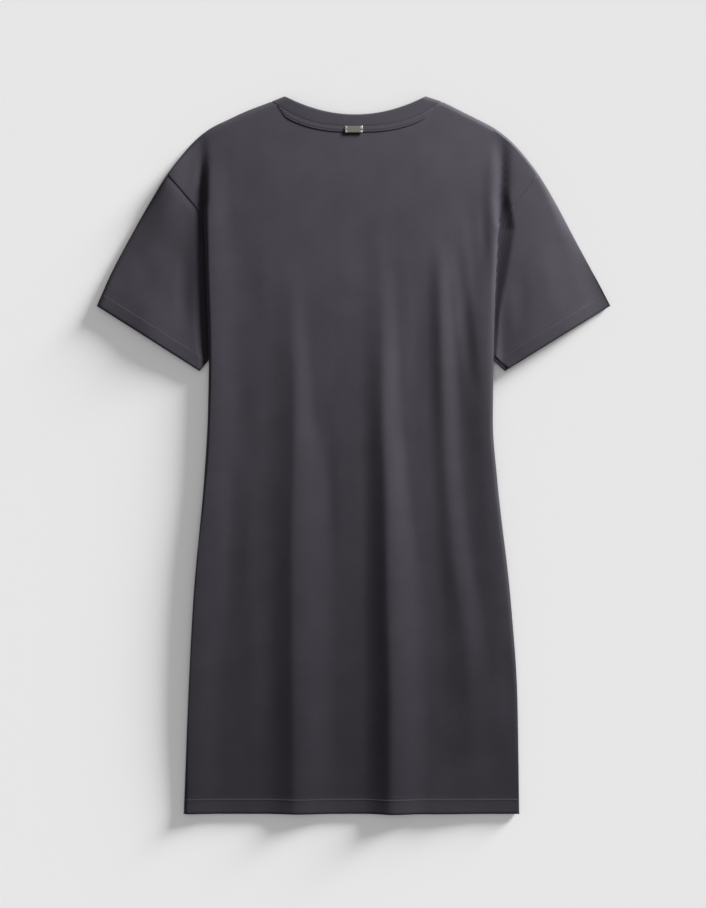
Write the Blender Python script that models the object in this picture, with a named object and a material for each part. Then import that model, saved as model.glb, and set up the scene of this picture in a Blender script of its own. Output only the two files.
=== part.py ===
"""Short-sleeved cotton T-shirt dress, laid flat on a surface with its back up.

The garment is two layers of cloth. The lower layer lies on the surface at z = 0, and the
upper layer stands over it on its own loft, with the long folds that run down the skirt.
Both layers meet at the garment's outline, where the cloth turns over. Each cut piece is a
region of those layers, given the thickness of its cloth.

Frame: +X to the right when the back is seen from above, +Y towards the neck, +Z up, with
the origin on the surface below the middle of the garment. All sizes are in millimetres.
"""

from collections import namedtuple

import bmesh
import bpy
import numpy as np

MM = 0.001

# Cloth and seams
JERSEY = 1.3
SEAM_GAP = 0.3
BODY_HEM = 18.5
CUFF_HEM = 16.4
HEM_EXTRA = 0.8
HEM_STEP = 1.2
RIB_THICKNESS = 2.0
RIB_RAISE = 0.5
RIB_RAISE_TURN = 0.06
TAPE_WIDTH = 7.3
TAPE_THICKNESS = 0.9
TAPE_ENDS = (-0.93, 0.92)

# Height over the surface where the two layers meet at a seam or fold
SEAM_HEIGHT = 5.0

# Widths over which the cloth turns over
SIDE_TURN = 5.0
UNDERARM_TURN = 4.5
LOWER_TURN = 5.0
UNDERARM_FADE = 8.0

# Neck, from the shoulder seams' ends: y is measured along the garment
NECK_POINT_Y = 459.2
NECK_JOIN_Y = 452.8
BACK_SEAM_LOW_Y = 420.4
BACK_EDGE_LOW_Y = 435.5
BACK_SEAM_POWER = 2.75
BACK_EDGE_POWER = 2.0
FRONT_SEAM_LOW_Y = 361.0
FRONT_EDGE_LOW_Y = 377.0
FRONT_SEAM_POWER = 2.5
FRONT_EDGE_POWER = 2.4

# Metal bar sewn over the back neck seam
BAR_LENGTH = 22.0
BAR_WIDTH = 8.3
BAR_THICKNESS = 1.2
BAR_CENTRE_X = 0.7
BAR_CENTRE_Y = 416.1
BAR_HOLE = 1.7
BAR_HOLE_INSET = 2.2
BAR_EDGE = 0.35

# Places along the garment, and the length of a sleeve from cuff to armhole
HEM_Y = -459.2
UNDERARM_Y = 121.9
CREASE_Y = 290.0
SHOULDER_Y = 359.0
SLEEVE_LENGTH = 150.0

# Outline from the cuff up over the shoulder to the neck, and how far in the upper layer turns
Outline = namedtuple("Outline", "place y left right left_turn right_turn")
OUTLINE = [
    Outline("cuff", 191.0, -328.4, 328.4, 7.0, 16.0),
    Outline("sleeve", 229.4, -311.6, 308.6, 7.0, 17.0),
    Outline("sleeve", 280.6, -284.7, 281.1, 8.0, 17.0),
    Outline("sleeve head", 321.6, -261.6, 259.3, 10.0, 16.0),
    Outline("armhole seam", SHOULDER_Y, -238.6, 236.9, 12.0, 15.0),
    Outline("shoulder", 383.0, -220.2, 218.8, 13.0, 14.0),
    Outline("shoulder", 403.5, -201.9, 199.7, 13.0, 13.0),
    Outline("shoulder", 418.9, -182.0, 179.5, 12.0, 12.0),
    Outline("shoulder", 429.1, -161.0, 160.4, 11.0, 11.0),
    Outline("shoulder", 439.4, -139.0, 139.5, 10.0, 10.0),
    Outline("neckband", NECK_JOIN_Y, -104.2, 112.1, 8.0, 8.0),
    Outline("neck point", NECK_POINT_Y, -88.2, 92.9, 7.0, 7.0),
]

# Side seams of the body, armhole seams from the underarm up to the outline, and the crease
# in each shoulder where the armhole seam leaves it
Pair = namedtuple("Pair", "place y left right")
SIDE_SEAMS = [
    Pair("hem", HEM_Y, -217.0, 212.2),
    Pair("skirt", -313.0, -211.5, 210.0),
    Pair("hip", -185.0, -204.9, 201.3),
    Pair("waist", -32.0, -191.2, 184.2),
    Pair("chest", 45.0, -186.5, 178.5),
    Pair("underarm", UNDERARM_Y, -184.8, 178.7),
]
ARMHOLES = [
    Pair("underarm", UNDERARM_Y, -184.8, 178.7),
    Pair("sleeve back", 200.0, -187.5, 182.8),
    Pair("sleeve back", 250.0, -189.3, 188.4),
    Pair("crease leaves", CREASE_Y, -191.6, 193.8),
    Pair("shoulder", 310.0, -198.0, 200.0),
    Pair("shoulder", 335.0, -217.5, 217.5),
    Pair("outline", SHOULDER_Y, -238.6, 236.9),
]
CREASES = [
    Pair("armhole", CREASE_Y, -191.6, 193.8),
    Pair("shoulder", 345.0, -190.6, 193.9),
    Pair("end", 397.0, -189.9, 193.4),
]

# How deep the upper layer sinks along these lines, as a share, and over what widths the body
# and the sleeve turn down to them on each side
Roll = namedtuple("Roll", "place y depth left_turn left_sink right_turn right_sink")
ROLLS = [
    Roll("hem", HEM_Y, 1.0, 5.0, 12.0, 5.0, 10.0),
    Roll("underarm", UNDERARM_Y, 1.0, 5.0, 28.0, 5.0, 10.0),
    Roll("armhole", 200.0, 1.0, 6.0, 38.0, 6.0, 12.0),
    Roll("crease leaves", CREASE_Y, 0.95, 7.0, 38.0, 8.0, 15.0),
    Roll("shoulder", 327.0, 0.75, 9.0, 34.0, 9.0, 18.0),
    Roll("shoulder", 350.0, 0.5, 11.0, 30.0, 11.0, 20.0),
    Roll("end", 397.0, 0.0, 13.0, 22.0, 13.0, 22.0),
]

# Height of the upper layer between its folds. It lies lower towards the hem, and stands high
# enough there that the hem stays open across its whole width
Loft = namedtuple("Loft", "y height")
LOFTS = [
    Loft(HEM_Y, 8.9),
    Loft(-425.0, 9.0),
    Loft(-340.0, 9.4),
    Loft(-220.0, 10.0),
    Loft(-60.0, 10.4),
    Loft(NECK_POINT_Y, 10.5),
]

# Shared stations, so that pieces on the two sides of a seam have the same corners: heights
# along the armholes, and places t from -1 to 1 round the neck
ARMHOLE_STATIONS = np.array(
    [UNDERARM_Y, 124.0, 131.0, 150.0, 180.0, 212.0, 244.0, 270.0, 288.0, 301.0, 315.0, 332.0,
     345.0, 353.0, 357.2, SHOULDER_Y]
)
NECK_TURN = np.array([1.0, 0.985, 0.95, 0.9])
BACK_NECK = np.concatenate([-NECK_TURN, np.linspace(-0.84, 0.84, 25), NECK_TURN[::-1]])
FRONT_NECK = np.concatenate([-NECK_TURN, np.linspace(-0.8, 0.8, 9), NECK_TURN[::-1]])

# Corners of the cuffs at the underarm, and how far the right one's lower layer shows past it
CUFF_INNER = {"left": (-197.0, 107.8), "right": (194.0, 107.8)}
UNDERARM_LIP = {"left": 0.0, "right": 5.0}

# How far each sleeve's upper layer stands over its loft at the open cuff, and how far up the
# sleeve that reaches
CUFF_LIFT = {"left": 3.6, "right": 2.6}
CUFF_LIFT_REACH = 118.0

# Long folds of the upper layer: crest line, width of each flank and height over the loft
Fold = namedtuple("Fold", "y crest left_width right_width height")
LEFT_EDGE_FOLD = [
    Fold(HEM_Y, -196.0, 19.0, 34.0, 1.6),
    Fold(-313.0, -190.0, 20.0, 36.0, 2.6),
    Fold(-121.0, -181.0, 20.0, 34.0, 3.0),
    Fold(7.0, -172.0, 18.0, 34.0, 2.8),
    Fold(122.0, -172.0, 16.0, 36.0, 2.6),
    Fold(250.0, -177.0, 14.0, 34.0, 2.8),
    Fold(340.0, -177.0, 14.0, 30.0, 1.6),
    Fold(390.0, -175.0, 14.0, 30.0, 0.0),
]
LEFT_FOLD = [
    Fold(HEM_Y, -67.0, 36.0, 56.0, 3.6),
    Fold(-313.0, -68.0, 36.0, 56.0, 5.0),
    Fold(-121.0, -70.0, 36.0, 56.0, 6.0),
    Fold(7.0, -67.0, 34.0, 38.0, 5.0),
    Fold(71.0, -68.0, 34.0, 26.0, 3.8),
    Fold(173.0, -76.0, 34.0, 24.0, 1.8),
    Fold(247.0, -79.0, 32.0, 26.0, 0.0),
]
CENTRE_FOLD = [
    Fold(HEM_Y, 47.0, 23.0, 36.0, 4.0),
    Fold(-313.0, 46.0, 22.0, 48.0, 6.0),
    Fold(-185.0, 44.0, 22.0, 50.0, 7.0),
    Fold(-57.0, 43.0, 22.0, 32.0, 7.0),
    Fold(71.0, 39.0, 23.0, 27.0, 5.2),
    Fold(173.0, 39.0, 26.0, 22.0, 2.8),
    Fold(276.0, 31.0, 26.0, 20.0, 0.0),
]
CENTRE_SWELL = [
    Fold(HEM_Y, 52.0, 60.0, 100.0, 1.0),
    Fold(-313.0, 48.0, 80.0, 70.0, 2.2),
    Fold(-57.0, 44.0, 80.0, 50.0, 2.4),
    Fold(71.0, 40.0, 70.0, 40.0, 1.4),
    Fold(200.0, 38.0, 60.0, 30.0, 0.0),
]
RIGHT_FOLD = [
    Fold(-440.0, 160.0, 40.0, 40.0, 0.0),
    Fold(-377.0, 152.0, 38.0, 38.0, 1.0),
    Fold(-249.0, 145.0, 30.0, 31.0, 2.6),
    Fold(-121.0, 127.0, 23.0, 26.0, 3.2),
    Fold(7.0, 117.0, 20.0, 21.0, 3.4),
    Fold(122.0, 113.0, 19.0, 20.0, 3.8),
    Fold(199.0, 111.0, 18.0, 18.0, 3.0),
    Fold(276.0, 110.0, 18.0, 18.0, 0.0),
]
RIGHT_EDGE_FOLD = [
    Fold(-300.0, 202.0, 33.0, 20.0, 0.0),
    Fold(-211.0, 193.0, 36.0, 22.0, 2.0),
    Fold(-121.0, 185.0, 36.0, 24.0, 3.0),
    Fold(7.0, 176.0, 34.0, 28.0, 4.4),
    Fold(122.0, 170.0, 34.0, 32.0, 5.8),
    Fold(199.0, 167.0, 34.0, 34.0, 5.8),
    Fold(276.0, 160.0, 34.0, 44.0, 3.6),
    Fold(340.0, 152.0, 34.0, 48.0, 0.0),
]
FOLDS = [LEFT_EDGE_FOLD, LEFT_FOLD, CENTRE_FOLD, CENTRE_SWELL, RIGHT_FOLD, RIGHT_EDGE_FOLD]

# Corners of the grids: shares of the turned edge for its columns, the skirt's first and last
# rows, and how far below the shoulders the rows have taken on their whole form
EDGE_SHARES = np.array([0.0, 0.12, 0.45, 1.0])
BACK_SKIRT = np.linspace(HEM_Y + 48.0, UNDERARM_Y - 32.0, 15)
BACK_LAST_ROW_Y = UNDERARM_Y - 12.0
FRONT_SKIRT = np.linspace(HEM_Y + 78.0, UNDERARM_Y - 40.0, 7)
BORDER_BLEND = 15.0
SLEEVE_ROWS = np.array([0.2, 0.32, 0.45, 0.58, 0.7, 0.8, 0.88, 0.95, 1.0])
SHARP_ANGLE = np.radians(50.0)

SLOPE_STEP = 0.1
UPRIGHT_SLOPE = 2.5
OUTLINE_SAMPLES = 140


def column(rows, name):
    """One named column of a table as an array."""
    return np.array([getattr(row, name) for row in rows], dtype=float)


def along(rows, name, y):
    """A column's value at height y: a cubic through the rows, whose slope at each row is the
    harmonic mean of the slopes on its two sides, so that it never overshoots a row."""
    key = column(rows, "y")
    value = column(rows, name)
    step = np.diff(key)
    slope = np.diff(value) / step
    tangent = np.concatenate([slope[:1], np.zeros(len(slope) - 1), slope[-1:]])
    turns = slope[:-1] * slope[1:] <= 0.0
    safe_before = np.where(turns, 1.0, slope[:-1])
    safe_after = np.where(turns, 1.0, slope[1:])
    tangent[1:-1] = np.where(turns, 0.0, 2.0 / (1.0 / safe_before + 1.0 / safe_after))
    at = np.clip(y, key[0], key[-1])
    cell = np.clip(np.searchsorted(key, at, side="right") - 1, 0, len(step) - 1)
    width = step[cell]
    t = (at - key[cell]) / width
    start = value[cell] * (1.0 + 2.0 * t) * (1.0 - t) ** 2
    end = value[cell + 1] * t * t * (3.0 - 2.0 * t)
    lean = width * t * (1.0 - t) * (tangent[cell] * (1.0 - t) - tangent[cell + 1] * t)
    return start + end + lean


def ease(t):
    """0 below 0, 1 above 1, and a smooth S between."""
    t = np.clip(t, 0.0, 1.0)
    return t * t * (3.0 - 2.0 * t)


def quarter_round(t):
    """Rises from 0 to 1 as a quarter of an ellipse, upright at 0 and level from 1 on."""
    t = np.clip(t, 0.0, 1.0)
    return np.sqrt(1.0 - (1.0 - t) ** 2)


def outline_points(side):
    """The outline from the cuff to the neck point as close-set points."""
    even = np.linspace(OUTLINE[0].y, OUTLINE[-1].y, OUTLINE_SAMPLES)
    y = np.unique(np.concatenate([even, column(OUTLINE, "y")]))
    return along(OUTLINE, side, y), y


def inside_distance(x, y, line_x, line_y):
    """Signed distance to a line of points that climbs from its first to its last point, and
    which of its points is nearest; positive on its right-hand side."""
    ax, ay = line_x[:-1], line_y[:-1]
    dx, dy = np.diff(line_x), np.diff(line_y)
    px = x[..., None] - ax
    py = y[..., None] - ay
    t = np.clip((px * dx + py * dy) / (dx * dx + dy * dy), 0.0, 1.0)
    gap = np.hypot(px - t * dx, py - t * dy)
    nearest = gap.argmin(axis=-1)
    pick = nearest[..., None]
    distance = np.take_along_axis(gap, pick, axis=-1)[..., 0]
    cross = np.take_along_axis(px * dy - py * dx, pick, axis=-1)[..., 0]
    return np.where(cross >= 0.0, distance, -distance), nearest


def outline_rise(x, y, side, lower=False):
    """How far the cloth has turned over from the sleeve and shoulder outline: 0 on it, 1 inside."""
    line_x, line_y = outline_points(side)
    distance, nearest = inside_distance(x, y, line_x, line_y)
    if side == "right":
        distance = -distance
    turn = LOWER_TURN if lower else along(OUTLINE, side + "_turn", line_y[nearest])
    return quarter_round(distance / turn)


def body_edge(side, y):
    """The panel's edge: the side seam up to the underarm and the armhole seam above it."""
    return np.where(y <= UNDERARM_Y, along(SIDE_SEAMS, side, y), along(ARMHOLES, side, y))


def side_rise(x, y, side):
    """The same for the body's side edge and for the crease along the armhole. Outside the
    crease the sleeve climbs from it as half a wave."""
    line = np.where(y <= CREASE_Y, body_edge(side, y), along(CREASES, side, y))
    inside = x - line if side == "left" else line - x
    depth = along(ROLLS, "depth", y)
    body = quarter_round(inside / along(ROLLS, side + "_turn", y))
    sleeve = ease(-inside / along(ROLLS, side + "_sink", y))
    return 1.0 - depth * (1.0 - np.where(inside >= 0.0, body, sleeve))


def underarm_rise(x, y, side, lower=False):
    """The same for the sleeve's folded edge under the arm, where the upper layer starts a lip's
    width inside the edge of the lower one."""
    cuff_x, cuff_y = CUFF_INNER[side]
    line_x = np.array([cuff_x, along(ARMHOLES, side, UNDERARM_Y)])
    distance, _ = inside_distance(x, y, line_x, np.array([cuff_y, UNDERARM_Y]))
    if side == "left":
        distance = -distance
    if lower:
        return quarter_round(distance / LOWER_TURN)
    rise = quarter_round(distance / UNDERARM_TURN)
    lip = UNDERARM_LIP[side]
    return rise * ease((distance - lip) / UNDERARM_TURN) if lip else rise


def fold_height(x, y, rows):
    """A ridge along the crest line, whose flanks fall as half a cosine wave on each side."""
    across = x - along(rows, "crest", y)
    width = np.where(across < 0.0, along(rows, "left_width", y), along(rows, "right_width", y))
    wave = 0.5 + 0.5 * np.cos(np.pi * np.clip(across / width, -1.0, 1.0))
    return along(rows, "height", y) * wave


def upper_height(x, y, rises):
    """Outer face of the upper layer: the loft and its folds, sunk to the seam height where
    the cloth turns over. rises are the turn-over factors that reach this piece."""
    height = along(LOFTS, "height", y) + sum(fold_height(x, y, rows) for rows in FOLDS)
    rise = np.min([factor(x, y) for factor in rises], axis=0)
    return SEAM_HEIGHT + (height - SEAM_HEIGHT) * rise


def cuff_lift(x, y, side):
    """How far the sleeve stands open: half a cosine wave from the cuff to nothing up the sleeve."""
    line_x = np.array([CUFF_INNER[side][0], getattr(OUTLINE[0], side)])
    line_y = np.array([CUFF_INNER[side][1], OUTLINE[0].y])
    distance = np.abs(inside_distance(x, y, line_x, line_y)[0])
    share = np.clip(distance / CUFF_LIFT_REACH, 0.0, 1.0)
    return CUFF_LIFT[side] * (0.5 + 0.5 * np.cos(np.pi * share))


def lower_height(x, y, rises):
    """Outer face of the lower layer: flat on the surface, turned up at the outline."""
    rise = np.min([factor(x, y) for factor in rises], axis=0)
    return SEAM_HEIGHT * (1.0 - rise)


def on_layer(height, x, y):
    """Points on a height function, and its upward unit normals from its slopes. On an edge,
    where the cloth stands upright, the normal is level."""
    slope_x = (height(x + SLOPE_STEP, y) - height(x - SLOPE_STEP, y)) / (2.0 * SLOPE_STEP)
    slope_y = (height(x, y + SLOPE_STEP) - height(x, y - SLOPE_STEP)) / (2.0 * SLOPE_STEP)
    upright = np.hypot(slope_x, slope_y) > UPRIGHT_SLOPE
    normal = np.stack([-slope_x, -slope_y, np.where(upright, 0.0, 1.0)], axis=-1)
    normal /= np.linalg.norm(normal, axis=-1, keepdims=True)
    return np.stack([x, y, height(x, y)], axis=-1), normal


def make_material(name, colour, roughness, metallic=0.0):
    """A plain surface with one colour."""
    material = bpy.data.materials.new(name)
    material.use_nodes = True
    shader = material.node_tree.nodes["Principled BSDF"]
    shader.inputs["Base Color"].default_value = (*colour, 1.0)
    shader.inputs["Roughness"].default_value = roughness
    shader.inputs["Metallic"].default_value = metallic
    return material


def make_wall(name, outer, inner, material, tube=False):
    """A closed wall between two grids of points, with rims between their borders. A tube's
    last column joins its first."""
    rows, columns = outer.shape[:2]
    count = rows * columns
    index = np.arange(count).reshape(rows, columns)
    if tube:
        index = np.concatenate([index, index[:, :1]], axis=1)
    corners = [index[:-1, :-1], index[:-1, 1:], index[1:, 1:], index[1:, :-1]]
    face = np.stack(corners, axis=-1).reshape(-1, 4)
    borders = [index[0], index[-1][::-1]]
    if not tube:
        borders += [index[::-1, 0], index[:, -1]]
    rims = [np.stack([line[1:], line[:-1], line[:-1] + count, line[1:] + count], axis=-1)
            for line in borders]
    faces = np.concatenate([face, face[:, ::-1] + count] + rims)
    points = np.concatenate([outer.reshape(-1, 3), inner.reshape(-1, 3)]) * MM
    mesh = bpy.data.meshes.new(name)
    mesh.from_pydata(points.tolist(), [], faces.tolist())
    work = bmesh.new()
    work.from_mesh(mesh)
    bmesh.ops.recalc_face_normals(work, faces=work.faces)
    work.to_mesh(mesh)
    work.free()
    mesh.shade_smooth()
    mesh.set_sharp_from_angle(angle=SHARP_ANGLE)
    mesh.materials.append(material)
    piece = bpy.data.objects.new(name, mesh)
    bpy.context.scene.collection.objects.link(piece)
    return piece


def neck_line(t, low_y, end_y, power, centre, half):
    """A neck curve: t runs from -1 to 1, and y climbs from its lowest point as a power of t."""
    return centre + half * t, low_y + (end_y - low_y) * np.abs(t) ** power


JOIN = next(row for row in OUTLINE if row.place == "neckband")
POINT = next(row for row in OUTLINE if row.place == "neck point")
SEAM_CENTRE = 0.5 * (JOIN.left + JOIN.right)
SEAM_HALF = 0.5 * (JOIN.right - JOIN.left)
EDGE_CENTRE = 0.5 * (POINT.left + POINT.right)
EDGE_HALF = 0.5 * (POINT.right - POINT.left)


def top_line(x, low_y, power):
    """Upper border of a panel at x: the shoulders and, between them, the neck seam."""
    left_x, left_y = outline_points("left")
    right_x, right_y = outline_points("right")
    left = np.interp(x, left_x, left_y)
    right = np.interp(-x, -right_x, right_y)
    t = np.clip((x - SEAM_CENTRE) / SEAM_HALF, -1.0, 1.0)
    neck = neck_line(t, low_y, NECK_JOIN_Y, power, SEAM_CENTRE, SEAM_HALF)[1]
    return np.where(x < JOIN.left, left, np.where(x > JOIN.right, right, neck))


def panel_grid(columns, turn_columns, row_y, low_y, power):
    """Plan of a panel. Its columns run from hem to neck: a few at fixed steps from each edge,
    and the rest at fixed shares of the width. Its rows are level in the skirt and take on the
    shape of the shoulders and the neck seam above the underarm."""
    left, right = body_edge("left", row_y), body_edge("right", row_y)
    turn = turn_columns[-1]
    top_left, top_right = left[-1], right[-1]

    def spread(low, high):
        low, high = np.atleast_1d(low)[:, None], np.atleast_1d(high)[:, None]
        middle = low + turn + columns * (high - low - 2.0 * turn)
        return np.concatenate([low + turn_columns[:-1], middle, high - turn_columns[-2::-1]], axis=1)

    x = spread(left, right)
    top_x = spread(top_left, top_right)[0]
    rise = top_line(top_x, low_y, power) - SHOULDER_Y
    blend_top = SHOULDER_Y - BORDER_BLEND
    share = 1.0 - ease((blend_top - row_y) / (blend_top - UNDERARM_Y))
    return x, row_y[:, None] + share[:, None] * rise


def panel_columns(left_zone, neck, right_zone, turn):
    """Shares of the width between the turned edges for the columns. Those in the neck fall on
    its stations along the top border."""
    low, high = ARMHOLES[-1].left + turn, ARMHOLES[-1].right - turn
    stations = (SEAM_CENTRE + SEAM_HALF * neck - low) / (high - low)
    start = stations[0] * np.linspace(0.0, 1.0, left_zone + 1) ** 1.4
    end = np.linspace(stations[-1], 1.0, right_zone + 1)
    return np.concatenate([start[:-1], stations, end[1:]])


def hem_thickness(distance, hem):
    """Wall of a piece at a distance from its turned hem's edge."""
    return JERSEY + HEM_EXTRA * (1.0 - np.clip((distance - hem) / HEM_STEP, 0.0, 1.0))


def make_back_panel(material):
    """The back: the upper layer between the side seams, armholes, shoulders and neck seam."""
    row_y = np.concatenate([
        [HEM_Y, HEM_Y + BODY_HEM, HEM_Y + BODY_HEM + HEM_STEP], BACK_SKIRT,
        [BACK_LAST_ROW_Y], ARMHOLE_STATIONS,
    ])
    columns = panel_columns(10, BACK_NECK, 16, SIDE_TURN)
    x, y = panel_grid(columns, SIDE_TURN * EDGE_SHARES, row_y, BACK_SEAM_LOW_Y, BACK_SEAM_POWER)
    rises = [
        lambda x, y: side_rise(x, y, "left"),
        lambda x, y: side_rise(x, y, "right"),
        lambda x, y: outline_rise(x, y, "left"),
        lambda x, y: outline_rise(x, y, "right"),
    ]

    def height(x, y):
        return upper_height(x, y, rises) + 0.5 * SEAM_GAP

    outer, normal = on_layer(height, x, y)
    thickness = hem_thickness(y - HEM_Y, BODY_HEM)
    return make_wall("back_panel", outer, outer - normal * thickness[..., None], material)


def make_front_panel(material):
    """The front: the lower layer, flat on the surface, turned up at its sides and shoulders."""
    row_y = np.concatenate([
        [HEM_Y, HEM_Y + BODY_HEM, HEM_Y + BODY_HEM + HEM_STEP], FRONT_SKIRT, ARMHOLE_STATIONS,
    ])
    columns = panel_columns(4, FRONT_NECK, 4, LOWER_TURN)
    x, y = panel_grid(columns, LOWER_TURN * EDGE_SHARES, row_y, FRONT_SEAM_LOW_Y, FRONT_SEAM_POWER)

    def side_turn(x, y, side):
        line = body_edge(side, y)
        inside = x - line if side == "left" else line - x
        fade = ease((y - UNDERARM_Y) / UNDERARM_FADE)
        return np.maximum(quarter_round(inside / LOWER_TURN), fade)

    rises = [
        lambda x, y: side_turn(x, y, "left"),
        lambda x, y: side_turn(x, y, "right"),
        lambda x, y: outline_rise(x, y, "left", lower=True),
        lambda x, y: outline_rise(x, y, "right", lower=True),
    ]

    def height(x, y):
        return lower_height(x, y, rises) * (SEAM_HEIGHT - 0.5 * SEAM_GAP) / SEAM_HEIGHT

    outer, normal = on_layer(height, x, y)
    thickness = hem_thickness(y - HEM_Y, BODY_HEM)
    return make_wall("front_panel", outer, outer + normal * thickness[..., None], material)


def sleeve_plan(side, rows):
    """Plan of a flattened sleeve. Columns run from the cuff to the armhole and rows from the
    outer fold to the fold under the arm; inside, the four borders are blended."""
    arm_y = ARMHOLE_STATIONS[::-1]
    arm_x = along(ARMHOLES, side, arm_y)
    outward = -1.0 if side == "left" else 1.0
    slope_x, slope_y = np.gradient(arm_x), np.gradient(arm_y)
    length = np.hypot(slope_x, slope_y)
    arm_x = arm_x - outward * SEAM_GAP * slope_y / length
    arm_y = arm_y + outward * SEAM_GAP * slope_x / length
    run = np.concatenate([[0.0], np.cumsum(np.hypot(np.diff(arm_x), np.diff(arm_y)))])
    s = run / run[-1]
    cuff_outer = np.array([getattr(OUTLINE[0], side), OUTLINE[0].y])
    cuff_inner = np.array(CUFF_INNER[side])
    fold_y = cuff_outer[1] + rows * (arm_y[0] - cuff_outer[1])
    fold = np.stack([along(OUTLINE, side, fold_y), fold_y], axis=-1)
    arm = np.stack([arm_x, arm_y], axis=-1)
    arm[0] = fold[-1]
    under = cuff_inner + rows[:, None] * (arm[-1] - cuff_inner)
    cuff = cuff_outer + s[:, None] * (cuff_inner - cuff_outer)
    v = rows[:, None, None]
    u = s[None, :, None]
    plan = (1.0 - v) * cuff[None] + v * arm[None] + (1.0 - u) * fold[:, None] + u * under[:, None]
    plan -= (1.0 - v) * ((1.0 - u) * cuff_outer + u * cuff_inner)
    plan -= v * ((1.0 - u) * arm[0] + u * arm[-1])
    return plan[..., 0], plan[..., 1]


def make_sleeve(side, material):
    """A sleeve: a flattened tube, open at the cuff and the armhole."""
    hem = CUFF_HEM / SLEEVE_LENGTH
    rows = np.concatenate([[0.0, hem, hem + HEM_STEP / SLEEVE_LENGTH], SLEEVE_ROWS])
    x, y = sleeve_plan(side, rows)
    upper_rises = [
        lambda x, y: side_rise(x, y, side),
        lambda x, y: outline_rise(x, y, side),
        lambda x, y: underarm_rise(x, y, side),
    ]
    lower_rises = [
        lambda x, y: outline_rise(x, y, side, lower=True),
        lambda x, y: underarm_rise(x, y, side, lower=True),
    ]

    def upper_face(x, y):
        rise = np.min([factor(x, y) for factor in upper_rises], axis=0)
        return upper_height(x, y, upper_rises) + cuff_lift(x, y, side) * rise

    upper, upper_normal = on_layer(upper_face, x, y)
    lower, lower_normal = on_layer(lambda x, y: lower_height(x, y, lower_rises), x, y)
    for edge in (0, -1):
        upper[:, edge, 2] = SEAM_HEIGHT
    ring = np.concatenate([upper, lower[:, -2:0:-1]], axis=1)
    normal = np.concatenate([upper_normal, -lower_normal[:, -2:0:-1]], axis=1)
    is_hem = rows <= hem
    thickness = np.where(is_hem, JERSEY + HEM_EXTRA, JERSEY)[:, None, None]
    return make_wall(side + "_sleeve", ring, ring - normal * thickness, material, tube=True)


def rib_section(plan_seam, plan_edge, height, sign):
    """Points across the neckband, from its seam to its free edge and back underneath."""
    across = np.linspace(0.0, 1.0, 4)[None, :, None]
    width = np.linalg.norm(plan_edge - plan_seam, axis=-1)[:, None, None]
    across = (SEAM_GAP + across * (width - SEAM_GAP)) / width
    plan = plan_seam[:, None] * (1.0 - across) + plan_edge[:, None] * across
    face, normal = on_layer(height, plan[..., 0], plan[..., 1])
    return face, sign * normal


def make_neck_rib(material):
    """The neckband: a ring that lies on the upper layer behind the neck and turns over at the
    neck points to lie on the surface round the front scoop."""
    back_rises = [lambda x, y: outline_rise(x, y, "left"), lambda x, y: outline_rise(x, y, "right")]
    front_rises = [
        lambda x, y: outline_rise(x, y, "left", lower=True),
        lambda x, y: outline_rise(x, y, "right", lower=True),
    ]
    def seam(t, low_y, power):
        return np.stack(neck_line(t, low_y, NECK_JOIN_Y, power, SEAM_CENTRE, SEAM_HALF), axis=-1)

    def edge(t, low_y, power):
        return np.stack(neck_line(t, low_y, NECK_POINT_Y, power, EDGE_CENTRE, EDGE_HALF), axis=-1)

    back_seam = seam(BACK_NECK, BACK_SEAM_LOW_Y, BACK_SEAM_POWER)
    back_edge = edge(BACK_NECK, BACK_EDGE_LOW_Y, BACK_EDGE_POWER)
    front_seam = seam(FRONT_NECK, FRONT_SEAM_LOW_Y, FRONT_SEAM_POWER)
    front_edge = edge(FRONT_NECK, FRONT_EDGE_LOW_Y, FRONT_EDGE_POWER)
    back, back_normal = rib_section(back_seam, back_edge,
                                    lambda x, y: upper_height(x, y, back_rises), 1.0)
    front, front_normal = rib_section(front_seam, front_edge,
                                      lambda x, y: lower_height(x, y, front_rises), -1.0)
    for end in (0, -1):
        back[end, :, 2] = SEAM_HEIGHT
    raised = quarter_round((1.0 - np.abs(BACK_NECK)) / RIB_RAISE_TURN)[:, None, None]
    outer = np.concatenate([back + RIB_RAISE * raised * back_normal, front[-2:0:-1]])
    inner_back = back - (RIB_THICKNESS - RIB_RAISE * raised) * back_normal
    inner_front = front - RIB_THICKNESS * front_normal
    inner = np.concatenate([inner_back, inner_front[-2:0:-1]])
    return make_wall("neck_rib", outer.transpose(1, 0, 2), inner.transpose(1, 0, 2), material, tube=True)


def make_neck_tape(material):
    """The strip stitched over the back neck seam, made from the back panel's own face."""
    rises = [lambda x, y: outline_rise(x, y, "left"), lambda x, y: outline_rise(x, y, "right")]
    t = np.linspace(*TAPE_ENDS, 29)
    seam_x, seam_y = neck_line(t, BACK_SEAM_LOW_Y, NECK_JOIN_Y, BACK_SEAM_POWER, SEAM_CENTRE, SEAM_HALF)
    slope_x, slope_y = np.gradient(seam_x), np.gradient(seam_y)
    length = np.hypot(slope_x, slope_y)
    across = np.linspace(0.5 * SEAM_GAP, TAPE_WIDTH, 3)[:, None]
    x = seam_x + across * slope_y / length
    y = seam_y - across * slope_x / length
    face, normal = on_layer(lambda x, y: upper_height(x, y, rises) + 0.5 * SEAM_GAP, x, y)
    inner = face + SEAM_GAP * normal
    outer = face + (SEAM_GAP + TAPE_THICKNESS) * normal
    return make_wall("neck_tape", outer, inner, material)


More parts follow.
